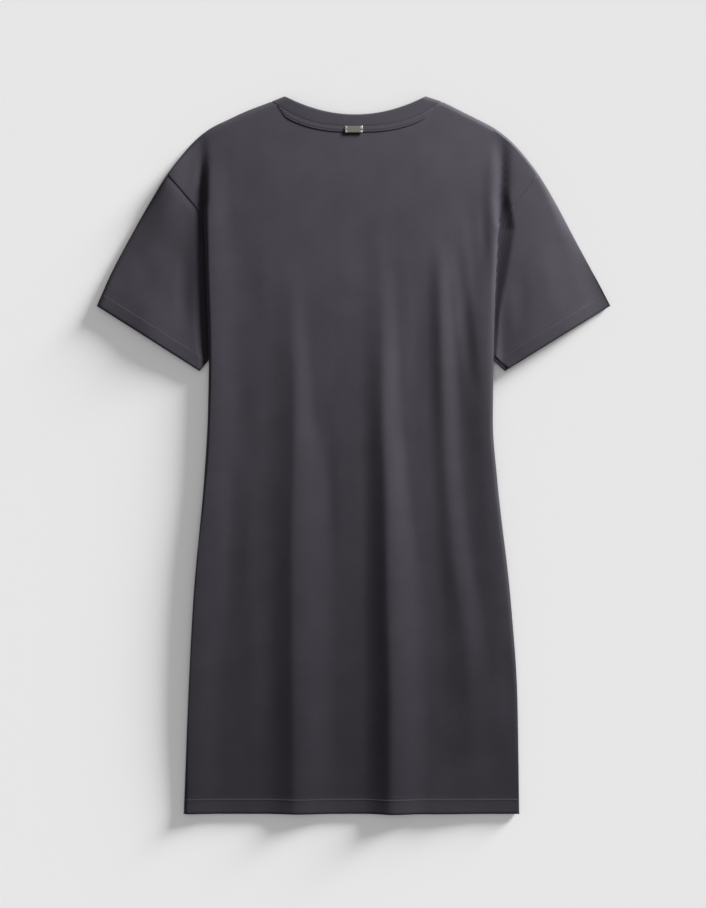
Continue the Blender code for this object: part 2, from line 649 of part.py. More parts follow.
def make_neck_bar(material):
    """A small plain bar with rounded edges and two holes for its thread."""
    tape_base = LOFTS[-1].height + 0.5 * SEAM_GAP + SEAM_GAP
    base = tape_base + TAPE_THICKNESS + SEAM_GAP
    work = bmesh.new()
    bmesh.ops.create_cube(work, size=1.0)
    size = np.array([BAR_LENGTH, BAR_WIDTH, BAR_THICKNESS]) * MM
    bmesh.ops.scale(work, vec=size, verts=work.verts)
    bmesh.ops.bevel(work, geom=work.edges[:], offset=BAR_EDGE * MM, segments=2, profile=0.5,
                    affect="EDGES")
    mesh = bpy.data.meshes.new("neck_bar")
    work.to_mesh(mesh)
    work.free()
    mesh.materials.append(material)
    bar = bpy.data.objects.new("neck_bar", mesh)
    bar.location = np.array([BAR_CENTRE_X, BAR_CENTRE_Y, base + 0.5 * BAR_THICKNESS]) * MM
    bpy.context.scene.collection.objects.link(bar)
    for sign in (-1.0, 1.0):
        drill = bmesh.new()
        bmesh.ops.create_cone(drill, cap_ends=True, segments=16, radius1=0.5 * BAR_HOLE * MM,
                              radius2=0.5 * BAR_HOLE * MM, depth=3.0 * BAR_THICKNESS * MM)
        drill_mesh = bpy.data.meshes.new("thread_hole")
        drill.to_mesh(drill_mesh)
        drill.free()
        cutter = bpy.data.objects.new("thread_hole", drill_mesh)
        cutter.location = bar.location
        cutter.location.x += sign * (0.5 * BAR_LENGTH - BAR_HOLE_INSET) * MM
        cutter.hide_render = True
        cutter.display_type = "WIRE"
        bpy.context.scene.collection.objects.link(cutter)
        cut = bar.modifiers.new("thread hole", "BOOLEAN")
        cut.operation = "DIFFERENCE"
        cut.solver = "EXACT"
        cut.object = cutter
    return bar


for leftover in list(bpy.data.objects):
    bpy.data.objects.remove(leftover, do_unlink=True)

jersey = make_material("charcoal jersey", (0.047, 0.045, 0.053), 0.9)
sleeve_jersey = make_material("charcoal jersey sleeve", (0.050, 0.048, 0.056), 0.9)
rib_knit = make_material("charcoal rib", (0.042, 0.040, 0.048), 0.92)
pewter = make_material("pewter bar", (0.35, 0.31, 0.24), 0.38, metallic=1.0)

make_front_panel(jersey)
make_back_panel(jersey)
make_sleeve("left", sleeve_jersey)
make_sleeve("right", sleeve_jersey)
make_neck_rib(rib_knit)
make_neck_tape(rib_knit)
make_neck_bar(pewter)
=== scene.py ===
"""A charcoal T-shirt dress of cotton jersey, laid flat on a pale surface with its back up.

Lengths below are in millimetres in the frame of the solids: +X to the right when the back is
seen from above, +Y towards the neck, +Z up. Meshes are written in metres.
"""

from collections import namedtuple

import bpy
import numpy as np
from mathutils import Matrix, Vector


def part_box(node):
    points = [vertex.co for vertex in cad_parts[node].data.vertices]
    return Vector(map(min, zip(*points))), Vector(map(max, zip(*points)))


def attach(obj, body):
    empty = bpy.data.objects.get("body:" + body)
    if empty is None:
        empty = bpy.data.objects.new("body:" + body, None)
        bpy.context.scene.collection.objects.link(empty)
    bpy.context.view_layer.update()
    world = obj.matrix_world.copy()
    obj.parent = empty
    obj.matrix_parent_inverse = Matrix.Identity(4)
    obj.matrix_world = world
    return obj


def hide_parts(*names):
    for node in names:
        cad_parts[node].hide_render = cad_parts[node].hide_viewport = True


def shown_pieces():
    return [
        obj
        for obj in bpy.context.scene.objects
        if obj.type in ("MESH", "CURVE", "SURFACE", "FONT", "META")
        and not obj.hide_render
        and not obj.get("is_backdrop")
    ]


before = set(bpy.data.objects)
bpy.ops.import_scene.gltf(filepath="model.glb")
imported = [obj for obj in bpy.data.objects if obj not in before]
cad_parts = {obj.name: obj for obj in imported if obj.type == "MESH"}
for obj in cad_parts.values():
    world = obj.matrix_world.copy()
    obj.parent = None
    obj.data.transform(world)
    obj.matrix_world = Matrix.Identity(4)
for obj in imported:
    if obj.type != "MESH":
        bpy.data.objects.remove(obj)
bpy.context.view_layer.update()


# Back panel
# One piece of mid-weight cotton jersey from the shoulders to the hem, cut wide and straight.
# It lies loosely over the front, so that it falls in long soft folds from the chest down, and
# its hem is turned up once and sewn through with a twin needle.

MM = 0.001
JERSEY = 1.3
SEAM_GAP = 0.3
SEAM_HEIGHT = 5.0
HEM_Y = -459.2
UNDERARM_Y = 121.9
CREASE_Y = 290.0
SHOULDER_Y = 359.0
NECK_POINT_Y = 459.2
NECK_JOIN_Y = 452.8
BACK_SEAM_LOW_Y = 420.4
BACK_SEAM_POWER = 2.75
LOWER_TURN = 5.0
# The hem's depth to its lower needle row, the gap to the upper one, how far it stands out and its
# edge rolls down, and how wide its inner step and the roll's start are
BODY_HEM = 18.5
TWIN_NEEDLE = 5.1
HEM_STEP = 0.3
EDGE_ROLL = 2.0
HEM_STEP_WIDTH = 1.2
EDGE_ROLL_START = 0.3

# The garment's outline from the cuffs up to the neck, and how far in the cloth turns over there
Outline = namedtuple("Outline", "place y left right left_turn right_turn")
OUTLINE = [
    Outline("cuff", 191, -328.4, 328.4, 7, 36),
    Outline("sleeve", 229.4, -311.6, 308.6, 7, 30),
    Outline("sleeve", 280.6, -284.7, 281.1, 7, 17),
    Outline("sleeve head", 321.6, -261.6, 259.3, 7, 9),
    Outline("armhole seam", SHOULDER_Y, -238.6, 236.9, 6, 5),
    Outline("shoulder", 383, -220.2, 218.8, 5, 4.5),
    Outline("shoulder", 403.5, -201.9, 199.7, 5, 4.5),
    Outline("shoulder", 418.9, -182, 179.5, 6, 4.5),
    Outline("shoulder", 429.1, -161, 160.4, 8, 4.5),
    Outline("shoulder", 439.4, -139, 139.5, 8, 4.5),
    Outline("neckband", NECK_JOIN_Y, -104.2, 112.1, 7, 5),
    Outline("neck point", NECK_POINT_Y, -88.2, 92.9, 7, 7),
]

# The way into the garment from each side's edge
INWARD = {"left": 1.0, "right": -1.0}
# Side seams, armhole seams, and the crease in each shoulder where the armhole seam leaves it
Pair = namedtuple("Pair", "place y left right")
SIDE_SEAMS = [
    Pair("hem", HEM_Y, -217, 212.2),
    Pair("skirt", -313, -211.5, 210),
    Pair("hip", -185, -204.9, 201.3),
    Pair("waist", -32, -191.2, 184.2),
    Pair("chest", 45, -186.5, 178.5),
    Pair("underarm", UNDERARM_Y, -184.8, 178.7),
]
ARMHOLES = [
    Pair("underarm", UNDERARM_Y, -184.8, 178.7),
    Pair("sleeve back", 200, -187.5, 182.8),
    Pair("sleeve back", 250, -189.3, 188.4),
    Pair("crease leaves", CREASE_Y, -191.6, 193.8),
    Pair("shoulder", 310, -198, 200),
    Pair("shoulder", 335, -217.5, 217.5),
    Pair("outline", SHOULDER_Y, -238.6, 236.9),
]
CREASES = [
    Pair("armhole", CREASE_Y, -191.6, 193.8),
    Pair("shoulder", 312, -190.9, 190.4),
    Pair("shoulder", 328, -190.7, 188.4),
    Pair("shoulder", 352, -190.5, 189.6),
    Pair("end", 397, -189.9, 190.2),
]
# How deep the upper layer sinks beside those lines, as a share, the widths over which the body
# and the sleeve turn down to it, how far inside the line its lowest place is, and how much the
# body's turn hollows out at its foot, on each side
Roll = namedtuple("Roll", "place y left_depth left_turn left_sink right_depth right_turn right_sink "
                          "right_inset right_hollow left_inset left_hollow", defaults=(0, 1, 0, 1))
ROLLS = [
    Roll("hem", HEM_Y, 1, 2.6, 12, 1, 5, 12),
    Roll("skirt", -330, 1, 1.3, 12, 1, 5, 12),
    Roll("hip", -120, 1, 1.3, 12, 1, 5, 12),
    Roll("chest", 20, 1, 2.6, 12, 1, 5, 12),
    Roll("underarm", UNDERARM_Y, 1.1, 2.2, 14, 0.3, 4, 4),
    Roll("armhole", 138, 1.25, 2.2, 18, 0.35, 4, 6, 0.5),
    Roll("armhole", 178, 1.25, 2.2, 20, 0.5, 4.5, 8, 1.6),
    Roll("armhole", 205, 1.25, 2.4, 20, 0.72, 5, 12, 2.4),
    Roll("armhole", 235, 1.25, 2.6, 20, 0.88, 5, 16, 4.4),
    Roll("crease leaves", CREASE_Y, 1.25, 3, 20, 0.88, 5, 21, 7.8),
    Roll("shoulder", 327, 1.2, 3.5, 20, 0.82, 11, 12, 0, 2.8),
    Roll("shoulder", 350, 1, 5, 16, 0.75, 11, 9, 0, 2.8),
    Roll("shoulder", 376, 0.5, 8, 12, 0.62, 12, 9, 0, 3),
    Roll("end", 412, 0, 12, 14, 0, 15, 10, 0, 3.6),
]

# Height of the upper layer between its folds: it sinks towards the hem, whose edge lifts a little
Loft = namedtuple("Loft", "y height")
LOFTS = [
    Loft(HEM_Y, 5.8),
    Loft(-441, 4.9),
    Loft(-420, 5.2),
    Loft(-340, 7),
    Loft(-220, 9),
    Loft(-60, 10.2),
    Loft(460, 10.5),
]

# Long folds: the crest line, the width of each flank and the height over the loft
Fold = namedtuple("Fold", "y crest left_width right_width height")
LONG_FOLDS = {
    "left side": [
        Fold(HEM_Y, -212.5, 5, 44, 3.2), Fold(-370, -211.5, 4, 46, 3.6),
        Fold(-313, -209.8, 3, 46, 3.8), Fold(-121, -197.8, 3, 42, 3.6),
        Fold(-60, -190.4, 4, 40, 3.3), Fold(7, -184.5, 5, 38, 3),
        Fold(122, -181, 5, 36, 2.6), Fold(250, -184, 6, 34, 2.8),
        Fold(340, -185, 6, 30, 1.6), Fold(390, -184, 8, 30, 0),
    ],
    "left of centre": [
        Fold(HEM_Y, -76, 44, 56, 5.8), Fold(-313, -77, 44, 56, 7),
        Fold(-121, -78, 44, 56, 6.8), Fold(7, -75, 42, 38, 5.2),
        Fold(71, -75, 40, 26, 4), Fold(173, -79, 38, 24, 1.6),
        Fold(247, -80, 34, 26, 0),
    ],
    "centre": [
        Fold(HEM_Y, 47, 34, 50, 7.8), Fold(-313, 47, 34, 52, 9.6),
        Fold(-185, 43.5, 33, 50, 9), Fold(-57, 41.5, 31, 34, 7.6),
        Fold(71, 37, 30, 27, 5.4), Fold(173, 37, 30, 22, 2.4),
        Fold(276, 31, 28, 20, 0),
    ],
    "swell": [
        Fold(HEM_Y, 52, 60, 100, 1.2), Fold(-313, 48, 84, 70, 1.6),
        Fold(-57, 44, 84, 50, 1.6), Fold(71, 40, 70, 40, 1),
        Fold(200, 38, 60, 30, 0),
    ],
    "right": [
        Fold(HEM_Y, 108, 50, 70, 3), Fold(-377, 152, 40, 40, 1.2),
        Fold(-249, 145, 30, 31, 2.6), Fold(-121, 127, 23, 26, 2.8),
        Fold(7, 117, 20, 21, 2.9), Fold(122, 113, 19, 20, 3.8),
        Fold(199, 111, 18, 18, 3), Fold(276, 110, 18, 18, 0),
    ],
    "right edge": [
        Fold(-300, 202, 40, 20, 0), Fold(-211, 193, 40, 22, 2),
        Fold(-121, 184, 40, 24, 3), Fold(7, 173, 36, 28, 4.4),
        Fold(96, 169, 38, 26, 5.2), Fold(147, 169, 40, 24, 5),
        Fold(173, 171, 38, 24, 4.4), Fold(225, 176, 26, 24, 2.6),
        Fold(276, 178, 16, 24, 1.8), Fold(340, 179, 16, 20, 1.6),
        Fold(395, 180, 16, 20, 0),
    ],
}
# Bends a fold's left flank: below 1 it is steepest near the crest and runs out slowly
FLANK_POWERS = {"left side": 1.0, "left of centre": 0.62, "centre": 0.68,
                "swell": 1.0, "right": 0.8, "right edge": 1.0}

# Smaller creases: where each starts and ends, the width of its flank, its height (below 0 for a
# trough), and how far its middle bows to the right
Crease = namedtuple("Crease", "x y end_x end_y width height bow")
BACK_CREASES = [
    Crease(-136, 318, -128, 120, 26, -0.8, -4),
    Crease(-134, 130, -138, -30, 24, -0.7, -6),
    Crease(-152, 0, -166, -260, 22, -1.1, 5),
    Crease(-118, -90, -126, -400, 26, 0.8, -4),
    Crease(-38, 90, -30, -150, 14, -0.6, 3),
    Crease(164, 335, 168, 205, 12, -0.9, 2),
    Crease(149, 345, 158, 190, 15, -0.8, -2),
    Crease(6, 330, 22, 210, 30, -0.7, -4),
    Crease(84, 250, 76, 40, 18, -0.7, 3),
    Crease(131, 300, 158, 50, 13, -1.3, -2),
    Crease(96, -60, 112, -360, 20, -0.6, 4),
    Crease(176, -200, 190, -400, 22, 0.9, -3),
    Crease(-92, 404, -120, 300, 40, 0.6, 6),
    Crease(100, 404, 118, 300, 36, 0.5, -5),
]
# Creases outside the body's edge, which cross the armhole seam from the shoulder to the sleeve
OUTER_CREASES = {
    "left": [
        Crease(-202, 450, -214, 20, 62, -4.2, 0),
        Crease(-228, 490, -240, 262, 34, 4.8, 0),
        Crease(-270, 372, -345, 20, 120, -5.2, 0),
        Crease(-214, 268, -216, 150, 16, -0.9, -2),
        Crease(-262, 262, -272, 190, 22, -0.8, 3),
    ],
    "right": [
        Crease(232, 450, 240, 50, 80, 3.8, 0),
        Crease(283, 330, 404, 100, 90, -6, 0),
        Crease(204, 55, 166, 195, 56, -1.6, 0),
        Crease(268, 290, 272, 180, 24, -0.9, -4),
        Crease(210, 250, 214, 140, 16, -0.7, 2),
    ],
}
OUTER_BLEND = {"left": 5.0, "right": 14.0}
CREASE_FADE = 1.3

# The ditch of the armhole seams: its depth, its widths towards body and sleeve, and where below
# the crease it starts and how fast
SEAM_DITCH = {"left": 0.6, "right": 0.25}
DITCH_INWARD = 0.8
DITCH_OUTWARD = 5.0
DITCH_START = 8.0
DITCH_FADE = 12.0

# Crossed waves of unevenness: their shifts, phase and height, and the millimetres to a radian
SOFT_WAVES = [(61.0, 23.0, 0.4, 0.30), (-37.0, 88.0, 1.9, 0.22), (143.0, -71.0, 4.1, 0.25)]
WAVE_ACROSS = 41.0
WAVE_ALONG = 67.0

# Step over which slopes are measured, and the slope that counts as upright
SLOPE_STEP = 0.1
UPRIGHT_SLOPE = 2.5


def column(rows, name):
    """One named column of a table as an array."""
    return np.array([getattr(row, name) for row in rows], dtype=float)


def along(rows, name, y):
    """A column's value at height y: a cubic through the rows, whose slope at each row is the
    harmonic mean of the slopes on its two sides, so that it never overshoots a row."""
    key = column(rows, "y")
    value = column(rows, name)
    step = np.diff(key)
    slope = np.diff(value) / step
    tangent = np.concatenate([slope[:1], np.zeros(len(slope) - 1), slope[-1:]])
    turns = slope[:-1] * slope[1:] <= 0.0
    before = np.where(turns, 1.0, slope[:-1])
    after = np.where(turns, 1.0, slope[1:])
    tangent[1:-1] = np.where(turns, 0.0, 2.0 / (1.0 / before + 1.0 / after))
    at = np.clip(y, key[0], key[-1])
    cell = np.clip(np.searchsorted(key, at, side="right") - 1, 0, len(step) - 1)
    width = step[cell]
    t = (at - key[cell]) / width
    start = value[cell] * (1.0 + 2.0 * t) * (1.0 - t) ** 2
    end = value[cell + 1] * t * t * (3.0 - 2.0 * t)
    return start + end + width * t * (1.0 - t) * (tangent[cell] * (1.0 - t) - tangent[cell + 1] * t)


def ease(t):
    """0 below 0, 1 above 1, and the S curve 3t^2 - 2t^3 between."""
    t = np.clip(t, 0.0, 1.0)
    return t * t * (3.0 - 2.0 * t)


def quarter_round(t):
    """A quarter of an ellipse: upright at 0, level from 1 on."""
    t = np.clip(t, 0.0, 1.0)
    return np.sqrt(1.0 - (1.0 - t) ** 2)


def line_distance(x, y, line_x, line_y):
    """Distance to the nearest segment of a climbing line, positive on its right-hand side, and
    the number of that segment."""
    dx, dy = np.diff(line_x), np.diff(line_y)
    px = x[..., None] - line_x[:-1]
    py = y[..., None] - line_y[:-1]
    t = np.clip((px * dx + py * dy) / (dx * dx + dy * dy), 0.0, 1.0)
    gap = np.hypot(px - t * dx, py - t * dy)
    nearest = gap.argmin(axis=-1)
    pick = nearest[..., None]
    distance = np.take_along_axis(gap, pick, axis=-1)[..., 0]
    cross = np.take_along_axis(px * dy - py * dx, pick, axis=-1)[..., 0]
    return np.where(cross >= 0.0, distance, -distance), nearest


def outline_points(side, count=140):
    """The outline from the cuff to the neck point as close-set points."""
    even = np.linspace(OUTLINE[0].y, OUTLINE[-1].y, count)
    y = np.unique(np.concatenate([even, column(OUTLINE, "y")]))
    return along(OUTLINE, side, y), y


def outline_rise(x, y, side, lower=False):
    """A quarter round of the distance to the outline: 0 on it, 1 where the cloth lies level."""
    line_x, line_y = outline_points(side)
    distance, nearest = line_distance(x, y, line_x, line_y)
    turn = LOWER_TURN if lower else along(OUTLINE, side + "_turn", line_y[nearest])
    return quarter_round(INWARD[side] * distance / turn)


def body_edge(side, y):
    """The panel's edge: the side seam up to the underarm and the armhole seam above it."""
    return np.where(y <= UNDERARM_Y, along(SIDE_SEAMS, side, y), along(ARMHOLES, side, y))


def inside_edge(x, y, side):
    """How far inside the body's edge a point lies, or inside the shoulder crease above it."""
    line = np.where(y <= CREASE_Y, body_edge(side, y), along(CREASES, side, y))
    return INWARD[side] * (x - line)


def side_rise(x, y, side):
    """A quarter round of the distance to the body's edge and to the shoulder crease above it.
    On the sleeve's side of the line the cloth climbs again in an S curve."""
    inward = inside_edge(x, y, side) - along(ROLLS, side + "_inset", y)
    turn = np.clip(inward / along(ROLLS, side + "_turn", y), 0.0, 1.0)
    body = quarter_round(turn ** along(ROLLS, side + "_hollow", y))
    sleeve = ease(-inward / along(ROLLS, side + "_sink", y))
    return 1.0 - along(ROLLS, side + "_depth", y) * (1.0 - np.where(inward >= 0.0, body, sleeve))


def fold_height(x, y, rows, power):
    """A ridge along the crest line, whose flanks fall as half a cosine wave. On the left the
    wave's argument is the distance to a power."""
    across = x - along(rows, "crest", y)
    left = np.clip(-across / along(rows, "left_width", y), 0.0, 1.0) ** power
    right = np.clip(across / along(rows, "right_width", y), 0.0, 1.0)
    wave = 0.5 + 0.5 * np.cos(np.pi * np.where(across < 0.0, left, right))
    return along(rows, "height", y) * wave


def crease_height(x, y, creases):
    """Creases added up. Each follows a bowed line from its start to its end, has a squared
    cosine across it, and fades in and out along a sine."""
    total = np.zeros(np.shape(x))
    for c in creases:
        dx, dy = c.end_x - c.x, c.end_y - c.y
        length = np.hypot(dx, dy)
        t = ((x - c.x) * dx + (y - c.y) * dy) / length ** 2
        across = ((x - c.x) * dy - (y - c.y) * dx) / length
        bowed = across - np.sign(dy) * c.bow * 4.0 * t * (1.0 - t)
        fade = np.sin(np.pi * np.clip(t, 0.0, 1.0)) ** CREASE_FADE
        total += c.height * fade * np.cos(0.5 * np.pi * np.clip(bowed / c.width, -1.0, 1.0)) ** 2
    return total


def soft_waves(x, y):
    """Slow unevenness of cloth that was smoothed by hand: a few crossed sine waves."""
    return sum(size * np.sin((x + a) / WAVE_ACROSS + phase) * np.sin((y + b) / WAVE_ALONG + 2.0 * phase)
               for a, b, phase, size in SOFT_WAVES)


def seam_ditch(x, y):
    """The armhole seams above the crease: the cloth drops at the seam as a narrow bell curve of
    the distance and climbs again along the sleeve as a wide one."""
    total = np.zeros(np.shape(x))
    for side, depth in SEAM_DITCH.items():
        line_y = np.linspace(CREASE_Y - DITCH_START, SHOULDER_Y, 30)
        distance, _ = line_distance(x, y, along(ARMHOLES, side, line_y), line_y)
        outward = -INWARD[side] * distance
        width = np.where(outward > 0.0, DITCH_OUTWARD, DITCH_INWARD)
        total -= depth * np.exp(-(outward / width) ** 2) * ease((y - CREASE_Y + DITCH_START) / DITCH_FADE)
    return total


def least_rise(x, y, rises):
    """The smallest of the turn-over factors, each given as a function and its settings."""
    return np.min([rise(x, y, *settings) for rise, *settings in rises], axis=0)


def upper_height(x, y, rises, relief=0.0):
    """Outer face of the upper layer: loft, folds, creases and what is added to them, sunk to
    the seam height by the smallest of the turn-over factors."""
    height = along(LOFTS, "height", y) + crease_height(x, y, BACK_CREASES) + soft_waves(x, y) + relief
    for side, creases in OUTER_CREASES.items():
        height += crease_height(x, y, creases) * ease(-inside_edge(x, y, side) / OUTER_BLEND[side])
    height += sum(fold_height(x, y, rows, FLANK_POWERS[name]) for name, rows in LONG_FOLDS.items())
    return SEAM_HEIGHT + (height - SEAM_HEIGHT) * least_rise(x, y, rises) + seam_ditch(x, y)


def hem_relief(distance, depth, step, drop):
    """A turned hem at a distance from its edge: rolled down at the edge as a quarter round, and
    one step thicker up to the lower needle row."""
    relief = step * (1.0 - ease((distance - depth) / HEM_STEP_WIDTH))
    return relief - drop * (1.0 - quarter_round(distance / (drop + EDGE_ROLL_START)))


def unit(way):
    """Vectors scaled to length 1."""
    return way / np.linalg.norm(way, axis=-1, keepdims=True)


def on_layer(height, x, y):
    """Points of a height function, with unit normals from its slopes. Where the cloth stands
    upright at an edge the normal is level."""
    step = SLOPE_STEP
    slope_x = (height(x + step, y) - height(x - step, y)) / (2.0 * step)
    slope_y = (height(x, y + step) - height(x, y - step)) / (2.0 * step)
    upright = np.hypot(slope_x, slope_y) > UPRIGHT_SLOPE
    normal = unit(np.stack([-slope_x, -slope_y, np.where(upright, 0.0, 1.0)], axis=-1))
    return np.stack([x, y, height(x, y)], axis=-1), normal


def top_line(x, low_y, power):
    """Upper border of a panel: the shoulders and, between them, the neck seam, which climbs
    from its lowest point as a power of the distance."""
    join = OUTLINE[-2]
    left_x, left_y = outline_points("left")
    right_x, right_y = outline_points("right")
    t = np.clip((x - 0.5 * (join.left + join.right)) / (0.5 * (join.right - join.left)), -1.0, 1.0)
    neck = low_y + (NECK_JOIN_Y - low_y) * np.abs(t) ** power
    left = np.interp(x, left_x, left_y)
    right = np.interp(-x, -right_x, right_y)
    return np.where(x < join.left, left, np.where(x > join.right, right, neck))


def panel_grid(count, turn_columns, row_y, low_y, power):
    """Plan of a panel: columns at fixed steps from each edge and even shares between, rows that
    are level in the skirt and take on the line of shoulders and neck above the underarm."""
    left, right = body_edge("left", row_y)[:, None], body_edge("right", row_y)[:, None]
    turn = turn_columns[-1]
    middle = left + turn + np.linspace(0.0, 1.0, count) * (right - left - 2.0 * turn)
    x = np.concatenate([left + turn_columns[:-1], middle, right - turn_columns[-2::-1]], axis=1)
    rise = top_line(x[-1], low_y, power) - SHOULDER_Y
    full_y = SHOULDER_Y - SHOULDER_ROWS
    blend = 1.0 - ease((full_y - row_y) / (full_y - UNDERARM_Y))
    return x, row_y[:, None] + blend[:, None] * rise


def new_piece(name, mesh, material):
    """Puts a finished mesh into the scene, with its material."""
    mesh.materials.append(material)
    piece = bpy.data.objects.new(name, mesh)
    bpy.context.scene.collection.objects.link(piece)
    return piece


def wall(name, outer, inner, across, up, material, tube=False):
    """A closed wall of cloth: two grids of points with rims between their borders. A tube's
    last column joins its first. across and up are each point's place on the flat cloth."""
    rows, columns = outer.shape[:2]
    count = rows * columns
    index = np.arange(count).reshape(rows, columns)
    if tube:
        index = np.concatenate([index, index[:, :1]], axis=1)
    face = np.stack([index[:-1, :-1], index[:-1, 1:], index[1:, 1:], index[1:, :-1]], axis=-1).reshape(-1, 4)
    borders = [index[0], index[-1][::-1]]
    if not tube:
        borders += [index[::-1, 0], index[:, -1]]
    rims = [np.stack([b[1:], b[:-1], b[:-1] + count, b[1:] + count], axis=-1) for b in borders]
    faces = np.concatenate([face, face[:, ::-1] + count] + rims)
    points = np.concatenate([outer.reshape(-1, 3), inner.reshape(-1, 3)]) * MM
    mesh = bpy.data.meshes.new(name)
    mesh.vertices.add(len(points))
    mesh.vertices.foreach_set("co", points.astype(np.float32).ravel())
    mesh.loops.add(faces.size)
    mesh.loops.foreach_set("vertex_index", faces.ravel().astype(np.int32))
    mesh.polygons.add(len(faces))
    mesh.polygons.foreach_set("loop_start", np.arange(0, faces.size, 4, dtype=np.int32))
    mesh.update(calc_edges=True)
    flat = np.stack(np.broadcast_arrays(across, up), axis=-1).reshape(-1, 2) * MM
    layer = mesh.uv_layers.new(name="cloth")
    layer.data.foreach_set("uv", flat[faces.ravel() % count].astype(np.float32).ravel())
    mesh.shade_smooth()
    mesh.set_sharp_from_angle(angle=np.radians(55.0))
    return new_piece(name, mesh, material)


def linear(code):
    """An sRGB hex colour as linear red, green, blue and alpha, by the two-part sRGB curve."""
    c = np.array([int(code[i:i + 2], 16) for i in (1, 3, 5)]) / 255.0
    return (*np.where(c <= 0.04045, c / 12.92, ((c + 0.055) / 1.055) ** 2.4), 1.0)


def new_material(name, values):
    """A material, its node tree, and its shader with these values."""
    material = bpy.data.materials.new(name)
    material.use_nodes = True
    shader = material.node_tree.nodes["Principled BSDF"]
    for socket, value in values.items():
        shader.inputs[socket].default_value = value
    return material, material.node_tree, shader


def link(tree, node, links):
    """Links each socket to its source: an output, or a node for its first output."""
    for socket, source in links.items():
        tree.links.new(source.outputs[0] if hasattr(source, "outputs") else source, node.inputs[socket])


def add(tree, kind, values=None, links=None, **settings):
    """Adds one node, with its settings, its sockets' values and what is linked to them. Sockets
    go by name, or by number where a node's names repeat."""
    node = tree.nodes.new("ShaderNode" + kind)
    for name, value in settings.items():
        setattr(node, name, value)
    for socket, value in (values or {}).items():
        node.inputs[socket].default_value = value
    link(tree, node, links or {})
    return node


def maths(tree, operation, values=None, links=None):
    """Adds one step of arithmetic."""
    return add(tree, "Math", values, links, operation=operation)


# The knit: how far a stitch leans back and the column falls at its sides, how deep it ripples,
# and how far its grooves are darkened in the colour as painted shade. Then fibre fluff and soft clouds of
# tone, as features a metre.
STITCH_LEAN = 1.4
COLUMN_FALL = 3.6
STITCH_RIPPLE = 0.2
KNIT_GROOVE_SHADE = 0.22
FIBRES = 420.0
CLOUDS = 26.0


def knit_material(name, deep, face, wale, course, relief, sheen):
    """Cotton single jersey: dull, with a soft fibre sheen and columns of V stitches. wale and
    course are the stitch's width and height in metres. The height is the column's round
    profile times a ripple along it, which leans away from the column's middle as a V does.
    The same height also darkens the colour in the grooves, as painted shade."""
    material, tree, shader = new_material(name, {
        "IOR": 1.5, "Specular IOR Level": 0.25, "Sheen Weight": sheen, "Sheen Roughness": 0.28,
        "Sheen Tint": linear("#d8d8e0")})
    uv = add(tree, "UVMap", uv_map="cloth")
    place = add(tree, "SeparateXYZ", links={0: uv})
    wales = maths(tree, "MULTIPLY", {1: 1.0 / wale}, {0: place})
    share = maths(tree, "FRACT", links={0: wales})
    side = maths(tree, "SUBTRACT", {1: 0.5}, {0: share})
    off = maths(tree, "ABSOLUTE", links={0: side})
    lean = maths(tree, "MULTIPLY", {1: STITCH_LEAN}, {0: off})
    courses = maths(tree, "MULTIPLY_ADD", {1: 1.0 / course}, {0: place.outputs[1], 2: lean})
    turn = maths(tree, "MULTIPLY", {1: 2.0 * np.pi}, {0: courses})
    ripple = maths(tree, "COSINE", links={0: turn})
    loop = maths(tree, "MULTIPLY_ADD", {1: STITCH_RIPPLE, 2: 1.0 - STITCH_RIPPLE}, {0: ripple})
    squared = maths(tree, "POWER", {1: 2.0}, {0: off})
    column_round = maths(tree, "MULTIPLY_ADD", {1: -COLUMN_FALL, 2: 1.0}, {0: squared})
    knit = maths(tree, "MULTIPLY", links={0: loop, 1: column_round})
    where = add(tree, "TexCoord").outputs["Object"]
    fibre = add(tree, "TexNoise", {"Scale": FIBRES, "Detail": 4.0, "Roughness": 0.6}, {"Vector": where})
    cloud = add(tree, "TexNoise", {"Scale": CLOUDS, "Detail": 3.0, "Roughness": 0.55}, {"Vector": where})
    blend = maths(tree, "ADD", links={0: fibre, 1: cloud})
    # Painted shade: the knit's height darkens the colour in its grooves, and the noise adds random tone.
    groove_shade_and_tone = maths(tree, "MULTIPLY_ADD", {1: KNIT_GROOVE_SHADE}, {0: knit, 2: blend})
    span = add(tree, "MapRange", {"From Min": 0.72, "From Max": 1.45}, {0: groove_shade_and_tone})
    colour = add(tree, "Mix", {6: linear(deep), 7: linear(face)}, {0: span}, data_type="RGBA")
    dull = add(tree, "MapRange", {"To Min": 0.8, "To Max": 0.95}, {0: fibre})
    surface = maths(tree, "MULTIPLY_ADD", {1: 0.5}, {0: fibre, 2: knit})
    bump = add(tree, "Bump", {"Strength": relief, "Distance": 0.3 * MM}, {"Height": surface})
    link(tree, shader, {"Base Color": colour.outputs[2], "Roughness": dull, "Normal": bump})
    return material


# Cotton jersey, dyed charcoal: dull and even, with a slight bluish cast. Its 0.8 mm stitch
# columns are drawn 1.2 mm wide, so that they still show close up.
jersey = knit_material("charcoal cotton jersey", "#26232a", "#2e2b32", 0.0012, 0.0009, 0.35, 0.20)

# What turns the back over: both side edges and both outlines
BACK_RISES = [(side_rise, "left"), (side_rise, "right"), (outline_rise, "left"), (outline_rise, "right")]
# Rows of points up from the hem, columns in from an edge, and how far below the shoulder the
# rows already have its full line
HEM_ROWS = np.array([0, 0.25, 0.6, 1.2, 2.5, 5, 8, 11, 14, 16.2, 17.2, 17.9, 18.5, 19.1, 19.8, 21,
                     22.2, 23, 23.6, 24.2, 25, 26.2, 28, 30.5])
EDGE_COLUMNS = np.array([0, 0.12, 0.35, 0.75, 1.3, 2, 2.9, 3.9, 5, 6.3, 7.8, 9.5])
SHOULDER_ROWS = 15.0


def back_height(x, y):
    """The back panel's outer face."""
    hem = hem_relief(y - HEM_Y, BODY_HEM, HEM_STEP, EDGE_ROLL)
    return upper_height(x, y, BACK_RISES, hem) + 0.5 * SEAM_GAP


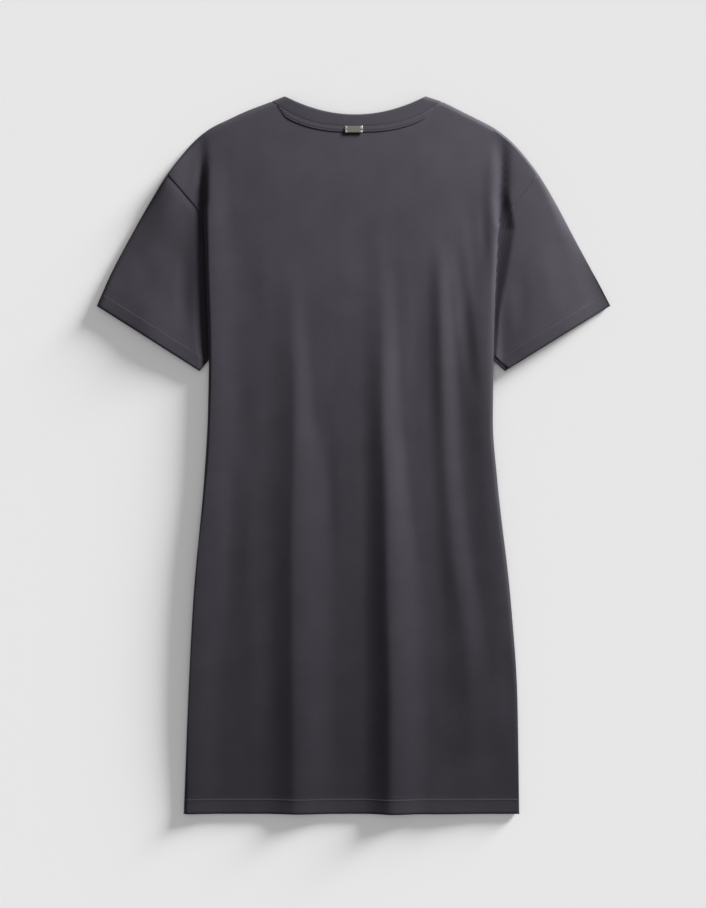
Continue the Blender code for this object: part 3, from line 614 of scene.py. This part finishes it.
back_rows = np.concatenate([HEM_Y + HEM_ROWS, np.linspace(HEM_Y + 33.5, UNDERARM_Y - 3.0, 172),
                            np.linspace(UNDERARM_Y, SHOULDER_Y, 86)])
back_x, back_y = panel_grid(106, EDGE_COLUMNS, back_rows, BACK_SEAM_LOW_Y, BACK_SEAM_POWER)
back_face, back_normal = on_layer(back_height, back_x, back_y)
back = wall("back_jersey", back_face, back_face - JERSEY * back_normal, back_x, back_y, jersey)
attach(back, "root")
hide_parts("back_panel")


# Front panel
# The same jersey, cut with a deeper neck scoop. It lies flat on the surface under the back and
# turns up at the side seams, shoulders and armholes to meet it.

FRONT_SEAM_LOW_Y = 361.0
FRONT_SEAM_POWER = 2.5
UNDERARM_FADE = 8.0
LOWER_EDGE_ROLL = 0.9
FRONT_CREASES = [
    Crease(-96, 60, -104, -300, 20, 1.2, 5),
    Crease(38, 150, 52, -200, 18, 1, -4),
    Crease(128, 230, 116, -60, 16, 1.1, 3),
    Crease(-150, 260, -128, 90, 16, 1, 4),
    Crease(-20, -140, -8, -410, 22, 0.9, 4),
    Crease(150, -150, 158, -390, 18, 0.9, -3),
]


def front_turn(x, y, side):
    """A quarter round of the distance to the side seam, fading out above the underarm."""
    turn = quarter_round(inside_edge(x, y, side) / LOWER_TURN)
    return np.maximum(turn, ease((y - UNDERARM_Y) / UNDERARM_FADE))


FRONT_RISES = [(front_turn, "left"), (front_turn, "right"),
               (outline_rise, "left", True), (outline_rise, "right", True)]


def front_height(x, y):
    """The front panel's outer face, which is its underside here: flat on the surface, turned up
    at its edges, with soft creases that stand clear of the surface."""
    rise = least_rise(x, y, FRONT_RISES)
    level = (SEAM_HEIGHT - 0.5 * SEAM_GAP) * (1.0 - rise)
    edge = hem_relief(y - HEM_Y, BODY_HEM, 0.0, LOWER_EDGE_ROLL)
    return level + crease_height(x, y, FRONT_CREASES) - edge * rise


front_rows = np.concatenate([HEM_Y + HEM_ROWS, np.linspace(HEM_Y + 35.0, UNDERARM_Y - 4.0, 110),
                             np.linspace(UNDERARM_Y, SHOULDER_Y, 62)])
front_x, front_y = panel_grid(74, EDGE_COLUMNS[:9], front_rows, FRONT_SEAM_LOW_Y, FRONT_SEAM_POWER)
front_face, front_normal = on_layer(front_height, front_x, front_y)
front = wall("front_jersey", front_face, front_face + JERSEY * front_normal, -front_x, front_y, jersey)
front.data.flip_normals()
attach(front, "root")
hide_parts("front_panel")


# Sleeves
# Each short sleeve is one piece of the same jersey, sewn to a tube under the arm and into the
# dropped armhole. It lies flattened, folded along its outer edge and under the arm, and its
# hem is turned up and sewn with the twin needle.

CUFF_HEM = 16.4
CUFF_STEP = 0.16
SLEEVE_LENGTH = 150.0
CUFF_INNER = {"left": (-197.0, 107.8), "right": (194.0, 107.8)}
UNDERARM_TURN = {"left": 3.0, "right": 1.3}
# The lip along the fold under the right arm: its width, how much lower it lies, as a share, and
# the width of its step
UNDERARM_LIP = {"left": 0.0, "right": 4.2}
LIP_STEP = {"left": 0.0, "right": 0.25}
LIP_WIDTH = 0.9
# How far a sleeve stands open at the cuff, how far up it this reaches, where it starts across
# the dress and over what width
SLEEVE_LIFT = {"left": 4.8, "right": -2.2}
SLEEVE_LIFT_REACH = 118.0
SLEEVE_LIFT_START = 182.0
SLEEVE_LIFT_SPREAD = 90.0
# Rows up the sleeve, as distances from the cuff and shares near the armhole, and the heights of
# the first and last columns along the armhole
CUFF_ROWS = np.array([0, 0.25, 0.6, 1.2, 2.5, 5, 8, 11, 13.6, 15, 15.8, 16.4, 17, 17.8, 19,
                      20.3, 21, 21.5, 22, 22.8, 24, 26])
ARMHOLE_ROWS = [0.978, 0.985, 0.99, 0.994, 0.997, 1.0]
ARM_TOP_Y = [359, 358.8, 358.4, 357.6, 356.4, 354.8, 352.8]
ARM_LOW_Y = [133.6, 131.2, 129, 127, 125.3, 124, 123, 122.4, 122.05, UNDERARM_Y]


def cuff_corner(side):
    """The cuff's outer corner, where the outline starts."""
    return np.array([getattr(OUTLINE[0], side), OUTLINE[0].y])


def underarm_rise(x, y, side, lower=False):
    """A quarter round of the distance to the fold under the arm, lowered in a step over the
    lip along the fold."""
    line_x = np.array([CUFF_INNER[side][0], along(ARMHOLES, side, UNDERARM_Y)])
    distance, _ = line_distance(x, y, line_x, np.array([CUFF_INNER[side][1], UNDERARM_Y]))
    inward = -INWARD[side] * distance
    if lower:
        return quarter_round(inward / LOWER_TURN)
    step = 1.0 - ease((inward - UNDERARM_LIP[side]) / LIP_WIDTH)
    return quarter_round(inward / UNDERARM_TURN[side]) * (1.0 - LIP_STEP[side] * step)


def run_along(path):
    """Distance along a path from its start, at each of its points."""
    return np.concatenate([[0.0], np.cumsum(np.linalg.norm(np.diff(path, axis=0), axis=-1))])


def sleeve_plan(side, rows, arm_y):
    """Plan of a flattened sleeve: columns from the cuff to the armhole, rows from the outer fold
    to the fold under the arm, blended inside from the four borders."""
    arm_x = along(ARMHOLES, side, arm_y)
    slope_x, slope_y = np.gradient(arm_x), np.gradient(arm_y)
    gap = INWARD[side] * SEAM_GAP / np.hypot(slope_x, slope_y)
    arm = np.stack([arm_x + gap * slope_y, arm_y - gap * slope_x], axis=-1)
    run = run_along(arm)
    s = run / run[-1]
    outer = cuff_corner(side)
    inner = np.array(CUFF_INNER[side])
    fold_y = outer[1] + rows * (arm[0, 1] - outer[1])
    fold = np.stack([along(OUTLINE, side, fold_y), fold_y], axis=-1)
    arm[0] = fold[-1]
    under = inner + rows[:, None] * (arm[-1] - inner)
    cuff = outer + s[:, None] * (inner - outer)
    v, u = rows[:, None, None], s[None, :, None]
    plan = (1.0 - v) * cuff[None] + v * arm[None] + (1.0 - u) * fold[:, None] + u * under[:, None]
    plan -= (1.0 - v) * ((1.0 - u) * outer + u * inner) + v * ((1.0 - u) * arm[0] + u * arm[-1])
    return plan[..., 0], plan[..., 1], s * run[-1]


def sleeve_lift(x, y, side):
    """The sleeve stands open at the cuff, or lies low there below 0: half a cosine wave from its
    full height down to nothing near the armhole, growing from the fold under the arm outwards."""
    share = np.clip(cuff_distance(x, y, side) / SLEEVE_LIFT_REACH, 0.0, 1.0)
    spread = ease((np.abs(x) - SLEEVE_LIFT_START) / SLEEVE_LIFT_SPREAD)
    return SLEEVE_LIFT[side] * (0.5 + 0.5 * np.cos(np.pi * share)) * spread


def cuff_distance(x, y, side):
    """Distance to the line of the cuff."""
    ends = np.array([CUFF_INNER[side], cuff_corner(side)])
    return np.abs(line_distance(x, y, ends[:, 0], ends[:, 1])[0])


def sleeve_height(x, y, side):
    """The upper layer of a sleeve, with its hem."""
    hem = hem_relief(cuff_distance(x, y, side), CUFF_HEM, CUFF_STEP, EDGE_ROLL)
    rises = [(side_rise, side), (outline_rise, side), (underarm_rise, side)]
    return upper_height(x, y, rises, sleeve_lift(x, y, side) + hem)


def sleeve_under(x, y, side):
    """The lower layer of a sleeve: flat on the surface and turned up at its folds."""
    rise = least_rise(x, y, [(outline_rise, side, True), (underarm_rise, side, True)])
    edge = hem_relief(cuff_distance(x, y, side), CUFF_HEM, 0.0, LOWER_EDGE_ROLL)
    return SEAM_HEIGHT * (1.0 - rise) - edge * rise


sleeve_rows = np.concatenate([CUFF_ROWS / SLEEVE_LENGTH, np.linspace(0.19, 0.97, 44), ARMHOLE_ROWS])
arm_y = np.concatenate([ARM_TOP_Y, np.linspace(350.0, 136.0, 88), ARM_LOW_Y])
sleeves = {}
for side in ("left", "right"):
    x, y, across = sleeve_plan(side, sleeve_rows, arm_y)
    upper, upper_normal = on_layer(lambda x, y: sleeve_height(x, y, side), x, y)
    lower, lower_normal = on_layer(lambda x, y: sleeve_under(x, y, side), x, y)
    for edge in (0, -1):
        upper[:, edge, 2] = SEAM_HEIGHT
    ring = np.concatenate([upper, lower[:, -2:0:-1]], axis=1)
    normal = np.concatenate([upper_normal, -lower_normal[:, -2:0:-1]], axis=1)
    around = np.concatenate([across, 2.0 * across[-1] - across[-2:0:-1]])
    sleeves[side] = wall(side + "_sleeve_jersey", ring, ring - JERSEY * normal, around,
                         sleeve_rows[:, None] * SLEEVE_LENGTH, jersey, tube=True)
    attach(sleeves[side], "root")
    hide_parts(side + "_sleeve")


# Neckband
# One strip of cotton rib, folded double along its free edge and stretched a little as it is
# sewn round the neck, so that it lies flat. Behind the neck it shows whole, and it turns over
# at the neck points to lie round the front scoop.

RIB_THICKNESS = 2.0
RIB_WIDTH = 15.0
RIB_GAP = 0.04
RIB_RAISE = 0.35
BACK_EDGE_LOW_Y = 435.5
FRONT_EDGE_LOW_Y = 377.0
BACK_EDGE_POWER = 2.0
FRONT_EDGE_POWER = 2.4
JOIN, POINT = OUTLINE[-2:]
# Shares across the band, its crown and how low that starts, how far the free edge rolls over
# and in what share, where its raised face fades, and the last places along the neck
RIB_SHARES = np.array([0, 0.02, 0.05, 0.1, 0.18, 0.3, 0.44, 0.58, 0.7, 0.81, 0.89, 0.945, 0.98, 1])
RIB_CROWN = 0.35
RIB_SINK = 0.15
RIB_ROLL = 0.9
RIB_ROLL_SHARE = 0.1
RIB_TURN = 0.06
NECK_ENDS = np.array([1, 0.9985, 0.996, 0.992, 0.986, 0.978, 0.968, 0.956, 0.942])


def neck_curve(t, low_y, power, end=JOIN):
    """t runs from -1 to 1 across the neck seam, or across the free edge with the neck points as
    its ends, and y climbs from its lowest point as a power of t."""
    x = 0.5 * (end.left + end.right) + 0.5 * (end.right - end.left) * t
    return np.stack([x, low_y + (end.y - low_y) * np.abs(t) ** power], axis=-1)


def neck_layer(x, y):
    """The upper layer behind the neck, before anything is sewn on it."""
    return upper_height(x, y, BACK_RISES[2:])


def neck_floor(x, y):
    """The lower layer round the front scoop."""
    return SEAM_HEIGHT * (1.0 - least_rise(x, y, FRONT_RISES[2:]))


def rib_part(seam, edge, height, sign):
    """Points across the band on a layer, the way out of it, and the profile's relief, which is
    rounded at both borders, slightly crowned between, and rolls over at the free edge."""
    width = np.linalg.norm(edge - seam, axis=-1)[:, None]
    across = (RIB_GAP + RIB_SHARES * (width - RIB_GAP)) / width
    plan = seam[:, None] * (1.0 - across[..., None]) + edge[:, None] * across[..., None]
    face, normal = on_layer(height, plan[..., 0], plan[..., 1])
    relief = RIB_CROWN * np.sqrt(np.clip(1.0 - (2.0 * RIB_SHARES - 1.0) ** 4, 0.0, 1.0)) - RIB_SINK
    relief -= RIB_ROLL * (1.0 - quarter_round((1.0 - RIB_SHARES) / RIB_ROLL_SHARE))
    return face, sign * normal, relief[:, None]


# Fine 1 by 1 rib of the same charcoal yarn, a shade deeper because its grooves hold shadow. Its
# 1.6 mm ribs are drawn 2 mm apart and run across the band.
rib_knit = knit_material("charcoal cotton rib", "#221f26", "#2d2a31", 0.0020, 0.0011, 0.4, 0.20)

back_t = np.concatenate([-NECK_ENDS, np.linspace(-0.925, 0.925, 150), NECK_ENDS[::-1]])
front_t = np.concatenate([-NECK_ENDS, np.linspace(-0.92, 0.92, 90), NECK_ENDS[::-1]])
back_part, back_up, back_relief = rib_part(
    neck_curve(back_t, BACK_SEAM_LOW_Y, BACK_SEAM_POWER),
    neck_curve(back_t, BACK_EDGE_LOW_Y, BACK_EDGE_POWER, POINT), neck_layer, 1.0)
front_part, front_up, front_relief = rib_part(
    neck_curve(front_t, FRONT_SEAM_LOW_Y, FRONT_SEAM_POWER),
    neck_curve(front_t, FRONT_EDGE_LOW_Y, FRONT_EDGE_POWER, POINT), neck_floor, -1.0)
back_part[[0, -1], :, 2] = SEAM_HEIGHT
raised = quarter_round((1.0 - np.abs(back_t)) / RIB_TURN)[:, None, None]
outer = np.concatenate([back_part + (RIB_RAISE + back_relief) * raised * back_up,
                        (front_part + np.minimum(front_relief, 0.0) * front_up)[-2:0:-1]])
inner = np.concatenate([back_part - (RIB_THICKNESS - RIB_RAISE * raised) * back_up,
                        (front_part - RIB_THICKNESS * front_up)[-2:0:-1]])
rib = wall("neck_rib_knit", outer.transpose(1, 0, 2), inner.transpose(1, 0, 2), run_along(outer[:, -1]),
           RIB_SHARES[:, None] * RIB_WIDTH, rib_knit, tube=True)
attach(rib, "root")
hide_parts("neck_rib")


# Neck tape
# A narrow strip of the neckband's fine rib covers the back neck seam, from one shoulder to the
# other. It is folded in at both edges and stitched down along them.

TAPE_WIDTH = 7.3
TAPE_THICKNESS = 0.65
TAPE_GAP = 0.05
# Shares across the tape, the rows that the needle follows, and the ditch beside each
TAPE_SHARES = np.array([0, 0.02, 0.06, 0.12, 0.18, 0.26, 0.4, 0.6, 0.74, 0.82, 0.88, 0.94, 0.98, 1])
TAPE_NEEDLE_ROWS = (3, 12)
TAPE_DITCHES = (0.18, 0.82)
TAPE_DITCH = 0.3
TAPE_DITCH_WIDTH = 0.07
TAPE_ROLL_SHARE = 0.08
# Where the tape ends on the neck's run from -1 to 1, in what run it reaches its full size, and
# its width and thickness at the end, as shares, and its least thickness
TAPE_END = 0.93
TAPE_END_RUN = 0.16
TAPE_END_WIDTH = 0.15
TAPE_END_THICKNESS = 0.25
TAPE_LEAST = 0.12

tape_t = np.linspace(-TAPE_END, TAPE_END, 150)
tape_seam = neck_curve(tape_t, BACK_SEAM_LOW_Y, BACK_SEAM_POWER)
tape_slope = unit(np.gradient(tape_seam, axis=0))
tape_ends = ease((tape_t - tape_t[0]) / TAPE_END_RUN) * ease((tape_t[-1] - tape_t) / TAPE_END_RUN)
tape_wide = TAPE_WIDTH * (TAPE_END_WIDTH + (1.0 - TAPE_END_WIDTH) * tape_ends)
tape_across = TAPE_GAP + TAPE_SHARES[:, None] * (tape_wide - TAPE_GAP)
tape_x = tape_seam[:, 0] + tape_across * tape_slope[:, 1]
tape_y = tape_seam[:, 1] - tape_across * tape_slope[:, 0]
tape_base, tape_up = on_layer(lambda x, y: neck_layer(x, y) + 0.5 * SEAM_GAP, tape_x, tape_y)
tape_relief = TAPE_THICKNESS * quarter_round(np.minimum(TAPE_SHARES, 1.0 - TAPE_SHARES) / TAPE_ROLL_SHARE)
for ditch in TAPE_DITCHES:
    tape_relief -= TAPE_DITCH * np.exp(-((TAPE_SHARES - ditch) / TAPE_DITCH_WIDTH) ** 2)
tape_thick = TAPE_END_THICKNESS + (1.0 - TAPE_END_THICKNESS) * tape_ends
tape_relief = np.maximum(tape_relief[:, None] * tape_thick, TAPE_LEAST)
tape_outer = tape_base + (SEAM_GAP + tape_relief[..., None]) * tape_up
tape = wall("neck_tape_rib", tape_outer, tape_base + 0.5 * SEAM_GAP * tape_up, tape_across,
            tape_seam[:, 0], rib_knit)
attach(tape, "root")
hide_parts("neck_tape")


# Metal bar
# A small plain stamped bar with a hole near each end, sewn over the back neck tape as a trim.

# Streaks a metre along and across the bar, and how far in from its ends a painted highlight starts and is
# full
STREAKS_ALONG = 300.0
STREAKS_ACROSS = 6500.0
PAINTED_GLINT_FROM = 3.4
PAINTED_GLINT_TO = 1.4

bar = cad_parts["neck_bar"]
bar_low, bar_high = [np.array(corner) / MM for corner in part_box("neck_bar")]
bar_middle = 0.5 * (bar_low + bar_high)
bar_half = 0.5 * (bar_high[0] - bar_low[0])
# Brushed zinc alloy with a pewter-grey plating: a soft shine with streaks 0.15 mm wide along
# the bar, and a painted highlight that turns its ends pale where their corners catch the light.
plating, tree, shader = new_material("brushed pewter plated zinc", {"Metallic": 1.0})
where = add(tree, "TexCoord").outputs["Object"]
stretched = add(tree, "Mapping", {"Scale": (STREAKS_ALONG, STREAKS_ACROSS, STREAKS_ACROSS)},
                {"Vector": where})
streak = add(tree, "TexNoise", {"Scale": 1.0, "Detail": 3.0}, {"Vector": stretched})
pewter = add(tree, "Mix", {6: linear("#857f78"), 7: linear("#aaa29a")}, {0: streak}, data_type="RGBA")
bar_place = add(tree, "SeparateXYZ", links={0: where})
from_middle = maths(tree, "SUBTRACT", {1: bar_middle[0] * MM}, {0: bar_place})
reach = maths(tree, "ABSOLUTE", links={0: from_middle})
painted_glint = add(tree, "MapRange", {"From Min": (bar_half - PAINTED_GLINT_FROM) * MM,
                                "From Max": (bar_half - PAINTED_GLINT_TO) * MM}, {0: reach})
# Painted highlight: the colour turns pale towards both ends of the bar.
ends = add(tree, "Mix", {7: linear("#e2dcd2")}, {0: painted_glint, 6: pewter.outputs[2]}, data_type="RGBA")
polish = add(tree, "MapRange", {"To Min": 0.28, "To Max": 0.45}, {0: streak})
brushed = add(tree, "Bump", {"Strength": 0.2, "Distance": 0.05 * MM}, {"Height": streak})
link(tree, shader, {"Base Color": ends.outputs[2], "Roughness": polish, "Normal": brushed})
bar.data.materials.clear()
bar.data.materials.append(plating)


# Stitching
# Core-spun polyester thread. Two rows of lockstitch hold each hem, one row runs along each edge
# of the neck tape, and a few turns through its holes hold the bar.

STITCH = 2.9
STITCH_GAP = 0.5
THREAD = 0.45
# How far the back's lower and upper rows and each cuff's lower row lie above the cloth
HEM_LIFTS = (0.1, -0.14)
CUFF_LIFT = {"left": -0.08, "right": -0.14}
# How far the hem's rows stop short of the side seams, and the cuffs' rows of the outline and of
# where the layer turns down to a share of its height
HEM_ROW_INSET = 1.2
CUFF_ROW_INSET = 1.0
CUFF_ROW_RISE = 0.2
# One stitch: its rings, their points, how far its ends close and dip, and how lengths differ
RINGS = 5
ROUND = 6
STITCH_CLOSE = 0.93
STITCH_DIP = 0.35
STITCH_CHANGE = 0.08


def stitches(name, centre, ahead, up, length, width):
    """Each stitch is a grain of thread: rings of points, whose radius is a half ellipse along
    the stitch and whose ends dip into the cloth. Lengths differ a little by a sine."""
    count = len(centre)
    t = np.linspace(-1.0, 1.0, RINGS)
    angle = np.arange(ROUND) * 2.0 * np.pi / ROUND
    side = np.cross(up, ahead)
    half = 0.5 * length * (1.0 + STITCH_CHANGE * np.sin(2.3 * np.arange(count)))
    radius = 0.5 * width * np.sqrt(1.0 - (STITCH_CLOSE * t) ** 2)
    points = centre[:, None, None] + (half[:, None] * t)[:, :, None, None] * ahead[:, None, None]
    points = points + (radius[:, None] * np.cos(angle))[None, ..., None] * side[:, None, None]
    lift = radius[:, None] * np.sin(angle) - STITCH_DIP * width * (t ** 2)[:, None]
    points = points + lift[None, ..., None] * up[:, None, None]
    ring = np.arange(RINGS * ROUND).reshape(RINGS, ROUND)
    after = np.roll(ring, -1, axis=1)
    quads = np.stack([ring[:-1], after[:-1], after[1:], ring[1:]], axis=-1).reshape(-1, 4)
    first, last = ring[0], ring[-1]
    caps = np.array([first[[0, 5, 4, 3]], first[[0, 3, 2, 1]], last[[0, 1, 2, 3]], last[[0, 3, 4, 5]]])
    faces = np.concatenate([quads, caps])
    faces = (faces[None] + ring.size * np.arange(count)[:, None, None]).reshape(-1, 4)
    mesh = bpy.data.meshes.new(name)
    mesh.from_pydata((points.reshape(-1, 3) * MM).tolist(), [], faces.tolist())
    mesh.shade_smooth()
    piece = new_piece(name, mesh, thread)
    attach(piece, "root")
    return piece


def even_points(path, pitch):
    """Points at equal steps along a path, and the unit direction at each."""
    run = run_along(path)
    at = np.arange(0.5 * pitch, run[-1], pitch)
    centre = np.stack([np.interp(at, run, line) for line in path.T], axis=-1)
    ahead = np.stack([np.interp(at, run, np.gradient(line)) for line in path.T], axis=-1)
    return centre, unit(ahead)


def stitch_row(height, x, y, lift=0.0):
    """One row of stitches along a line on a layer: their middles, ways ahead and ways up."""
    centre, ahead = even_points(on_layer(height, x, y)[0], STITCH)
    up = on_layer(height, centre[:, 0], centre[:, 1])[1]
    return centre + lift * up, ahead, up


def joined(rows):
    """Rows of stitches put one after the other."""
    return [np.concatenate(part) for part in zip(*rows)]


# Charcoal sewing thread: smoother than the jersey, so that it catches a little more light.
thread, tree, shader = new_material("charcoal polyester thread", {"Sheen Weight": 0.2})
where = add(tree, "TexCoord").outputs["Object"]
ply = add(tree, "TexNoise", {"Scale": 1500.0, "Detail": 2.0}, {"Vector": where})
grey = add(tree, "Mix", {6: linear("#2d2a31"), 7: linear("#403d44")}, {0: ply}, data_type="RGBA")
gloss = add(tree, "MapRange", {"To Min": 0.5, "To Max": 0.75}, {0: ply})
link(tree, shader, {"Base Color": grey.outputs[2], "Roughness": gloss})

back_hem, front_hem = [], []
for row, lift in zip((BODY_HEM, BODY_HEM + TWIN_NEEDLE), HEM_LIFTS):
    y = HEM_Y + row
    x = np.linspace(-216.0, 211.5, 400)
    x = x[(x > body_edge("left", y) + HEM_ROW_INSET) & (x < body_edge("right", y) - HEM_ROW_INSET)]
    back_hem.append(stitch_row(back_height, x, np.full_like(x, y), lift))
    front_hem.append(stitch_row(front_height, x, np.full_like(x, y)))
back_stitches = stitches("back_hem_stitches", *joined(back_hem), STITCH - STITCH_GAP, THREAD)
centre, ahead, up = joined(front_hem)
front_stitches = stitches("front_hem_stitches", centre, ahead, -up, STITCH - STITCH_GAP, 0.6 * THREAD)

for side in ("left", "right"):
    rows = []
    across = np.array(CUFF_INNER[side]) - cuff_corner(side)
    cuff_way = unit(across)
    up_way = np.array([-cuff_way[1], cuff_way[0]]) * INWARD[side]
    for row, lift in ((CUFF_HEM, CUFF_LIFT[side]), (CUFF_HEM + TWIN_NEEDLE, HEM_LIFTS[1])):
        line = cuff_corner(side) + row * up_way + np.linspace(0.0, 1.0, 300)[:, None] * across
        x, y = line.T
        held = least_rise(x, y, [(outline_rise, side), (underarm_rise, side)])
        inside = line_distance(x, y, *outline_points(side))[0] * INWARD[side]
        x, y = line[(held > CUFF_ROW_RISE) & (inside > CUFF_ROW_INSET)].T
        rows.append(stitch_row(lambda x, y: sleeve_height(x, y, side), x, y, lift))
    stitches(side + "_cuff_stitches", *joined(rows), STITCH - STITCH_GAP, THREAD)

TAPE_STITCH = 2.4
TAPE_STITCH_GAP = 0.4
TAPE_THREAD = 0.4
TAPE_THREAD_LIFT = 0.05
tape_rows = []
for row in TAPE_NEEDLE_ROWS:
    path, way_up = tape_outer[row][2:-2], tape_up[row][2:-2]
    centre, ahead = even_points(path, TAPE_STITCH)
    up = np.stack([np.interp(centre[:, 0], path[:, 0], part) for part in way_up.T], axis=-1)
    tape_rows.append((centre + TAPE_THREAD_LIFT * up, ahead, unit(up)))
tape_stitches = stitches("neck_tape_stitches", *joined(tape_rows), TAPE_STITCH - TAPE_STITCH_GAP, TAPE_THREAD)

# Three turns of thread run from each hole over the bar's end: how far in their middles lie, how
# far apart, how they splay, and their length, thickness and height
TURN_INSET = 0.6
TURN_PITCH = 0.5
TURN_SPLAY = 0.35
TURN_LENGTH = 4.2
TURN_THREAD = 0.5
TURN_LIFT = 0.05
turn_at, turn_way = [], []
for end in (-1.0, 1.0):
    for turn in (-TURN_PITCH, 0.0, TURN_PITCH):
        turn_at.append((bar_middle[0] + end * (bar_half - TURN_INSET), bar_middle[1] + turn,
                        bar_high[2] + TURN_LIFT))
        turn_way.append((end, TURN_SPLAY * turn, 0.0))
bar_thread = stitches("bar_thread", np.array(turn_at), unit(np.array(turn_way)),
                      np.tile([0.0, 0.0, 1.0], (len(turn_at), 1)), TURN_LENGTH, TURN_THREAD)

for side, sleeve in sleeves.items():
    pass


# Floor, light and camera
# A plain pale floor. A soft key light stands low at the upper right, near the shoulders, so that
# the dress darkens towards its hem, and the room's own light fills the shadows. The floor has
# a key of its own from the same direction, which lights it evenly as a paper sweep is lit.
# Lengths here are in metres.

FLOOR_HALF = 15.0
FLOOR_Z = -0.0003

corners = [(x * FLOOR_HALF, y * FLOOR_HALF, FLOOR_Z) for x, y in ((-1, -1), (1, -1), (1, 1), (-1, 1))]
floor_mesh = bpy.data.meshes.new("floor")
floor_mesh.from_pydata(corners, [], [(0, 1, 2, 3)])
paper, _, _ = new_material("pale matt paper", {
    "Base Color": linear("#e6e6e6"), "Roughness": 0.95, "Specular IOR Level": 0.0})
floor = new_piece("floor", floor_mesh, paper)
floor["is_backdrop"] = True


def aimed_lamp(name, kind, at, target, energy, lit, **settings):
    """A lamp that stands at a point and looks at another. It lights the given objects alone,
    and all objects still cast its shadow."""
    data = bpy.data.lights.new(name, kind)
    data.energy = energy
    for key, value in settings.items():
        setattr(data, key, value)
    lamp = bpy.data.objects.new(name, data)
    lamp.location = at
    lamp.rotation_mode = "QUATERNION"
    lamp.rotation_quaternion = Vector(np.array(at) - np.array(target)).to_track_quat("Z", "Y")
    bpy.context.scene.collection.objects.link(lamp)
    group = bpy.data.collections.new(name + "_lit")
    for piece in lit:
        group.objects.link(piece)
    lamp.light_linking.receiver_collection = group


AZIMUTH = np.radians(42.0)
ELEVATION = np.radians(10.1)
TOWARDS = np.array([np.cos(ELEVATION) * np.cos(AZIMUTH), np.cos(ELEVATION) * np.sin(AZIMUTH),
                    np.sin(ELEVATION)])
aimed_lamp("key", "AREA", (1.12, 1.54, 0.55), (0.0, 0.1, 0.0), 165.0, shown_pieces(), shape="DISK", size=0.56)
aimed_lamp("floor_key", "SUN", TOWARDS * 3.0, (0.0, 0.0, 0.0), 9.14, [floor], angle=np.radians(17.0))
aimed_lamp("floor_top", "SUN", (0.0, 0.0, 3.0), (0.0, 0.0, 0.0), 0.65, [floor], angle=np.radians(60.0))

world = bpy.data.worlds.new("room")
world.use_nodes = True
room = world.node_tree.nodes["Background"]
room.inputs["Color"].default_value = (1.0, 1.0, 1.0, 1.0)
room.inputs["Strength"].default_value = 0.29
bpy.context.scene.world = world
bpy.context.scene.view_settings.view_transform = "Standard"

# The camera looks straight down at the middle of the photo's frame, whose height is taken at
# the level of the seams
PHOTO_MIDDLE = (-0.0005, 0.0016)
PHOTO_HEIGHT = 1.1622
CAMERA_HEIGHT = 2.5
SENSOR = 36.0
camera = bpy.data.objects.new("camera", bpy.data.cameras.new("camera"))
camera.location = (*PHOTO_MIDDLE, CAMERA_HEIGHT)
camera.data.sensor_width = SENSOR
camera.data.lens = SENSOR * (CAMERA_HEIGHT - SEAM_HEIGHT * MM) / PHOTO_HEIGHT
camera.data.clip_end = 60.0
bpy.context.scene.collection.objects.link(camera)
bpy.context.scene.camera = camera
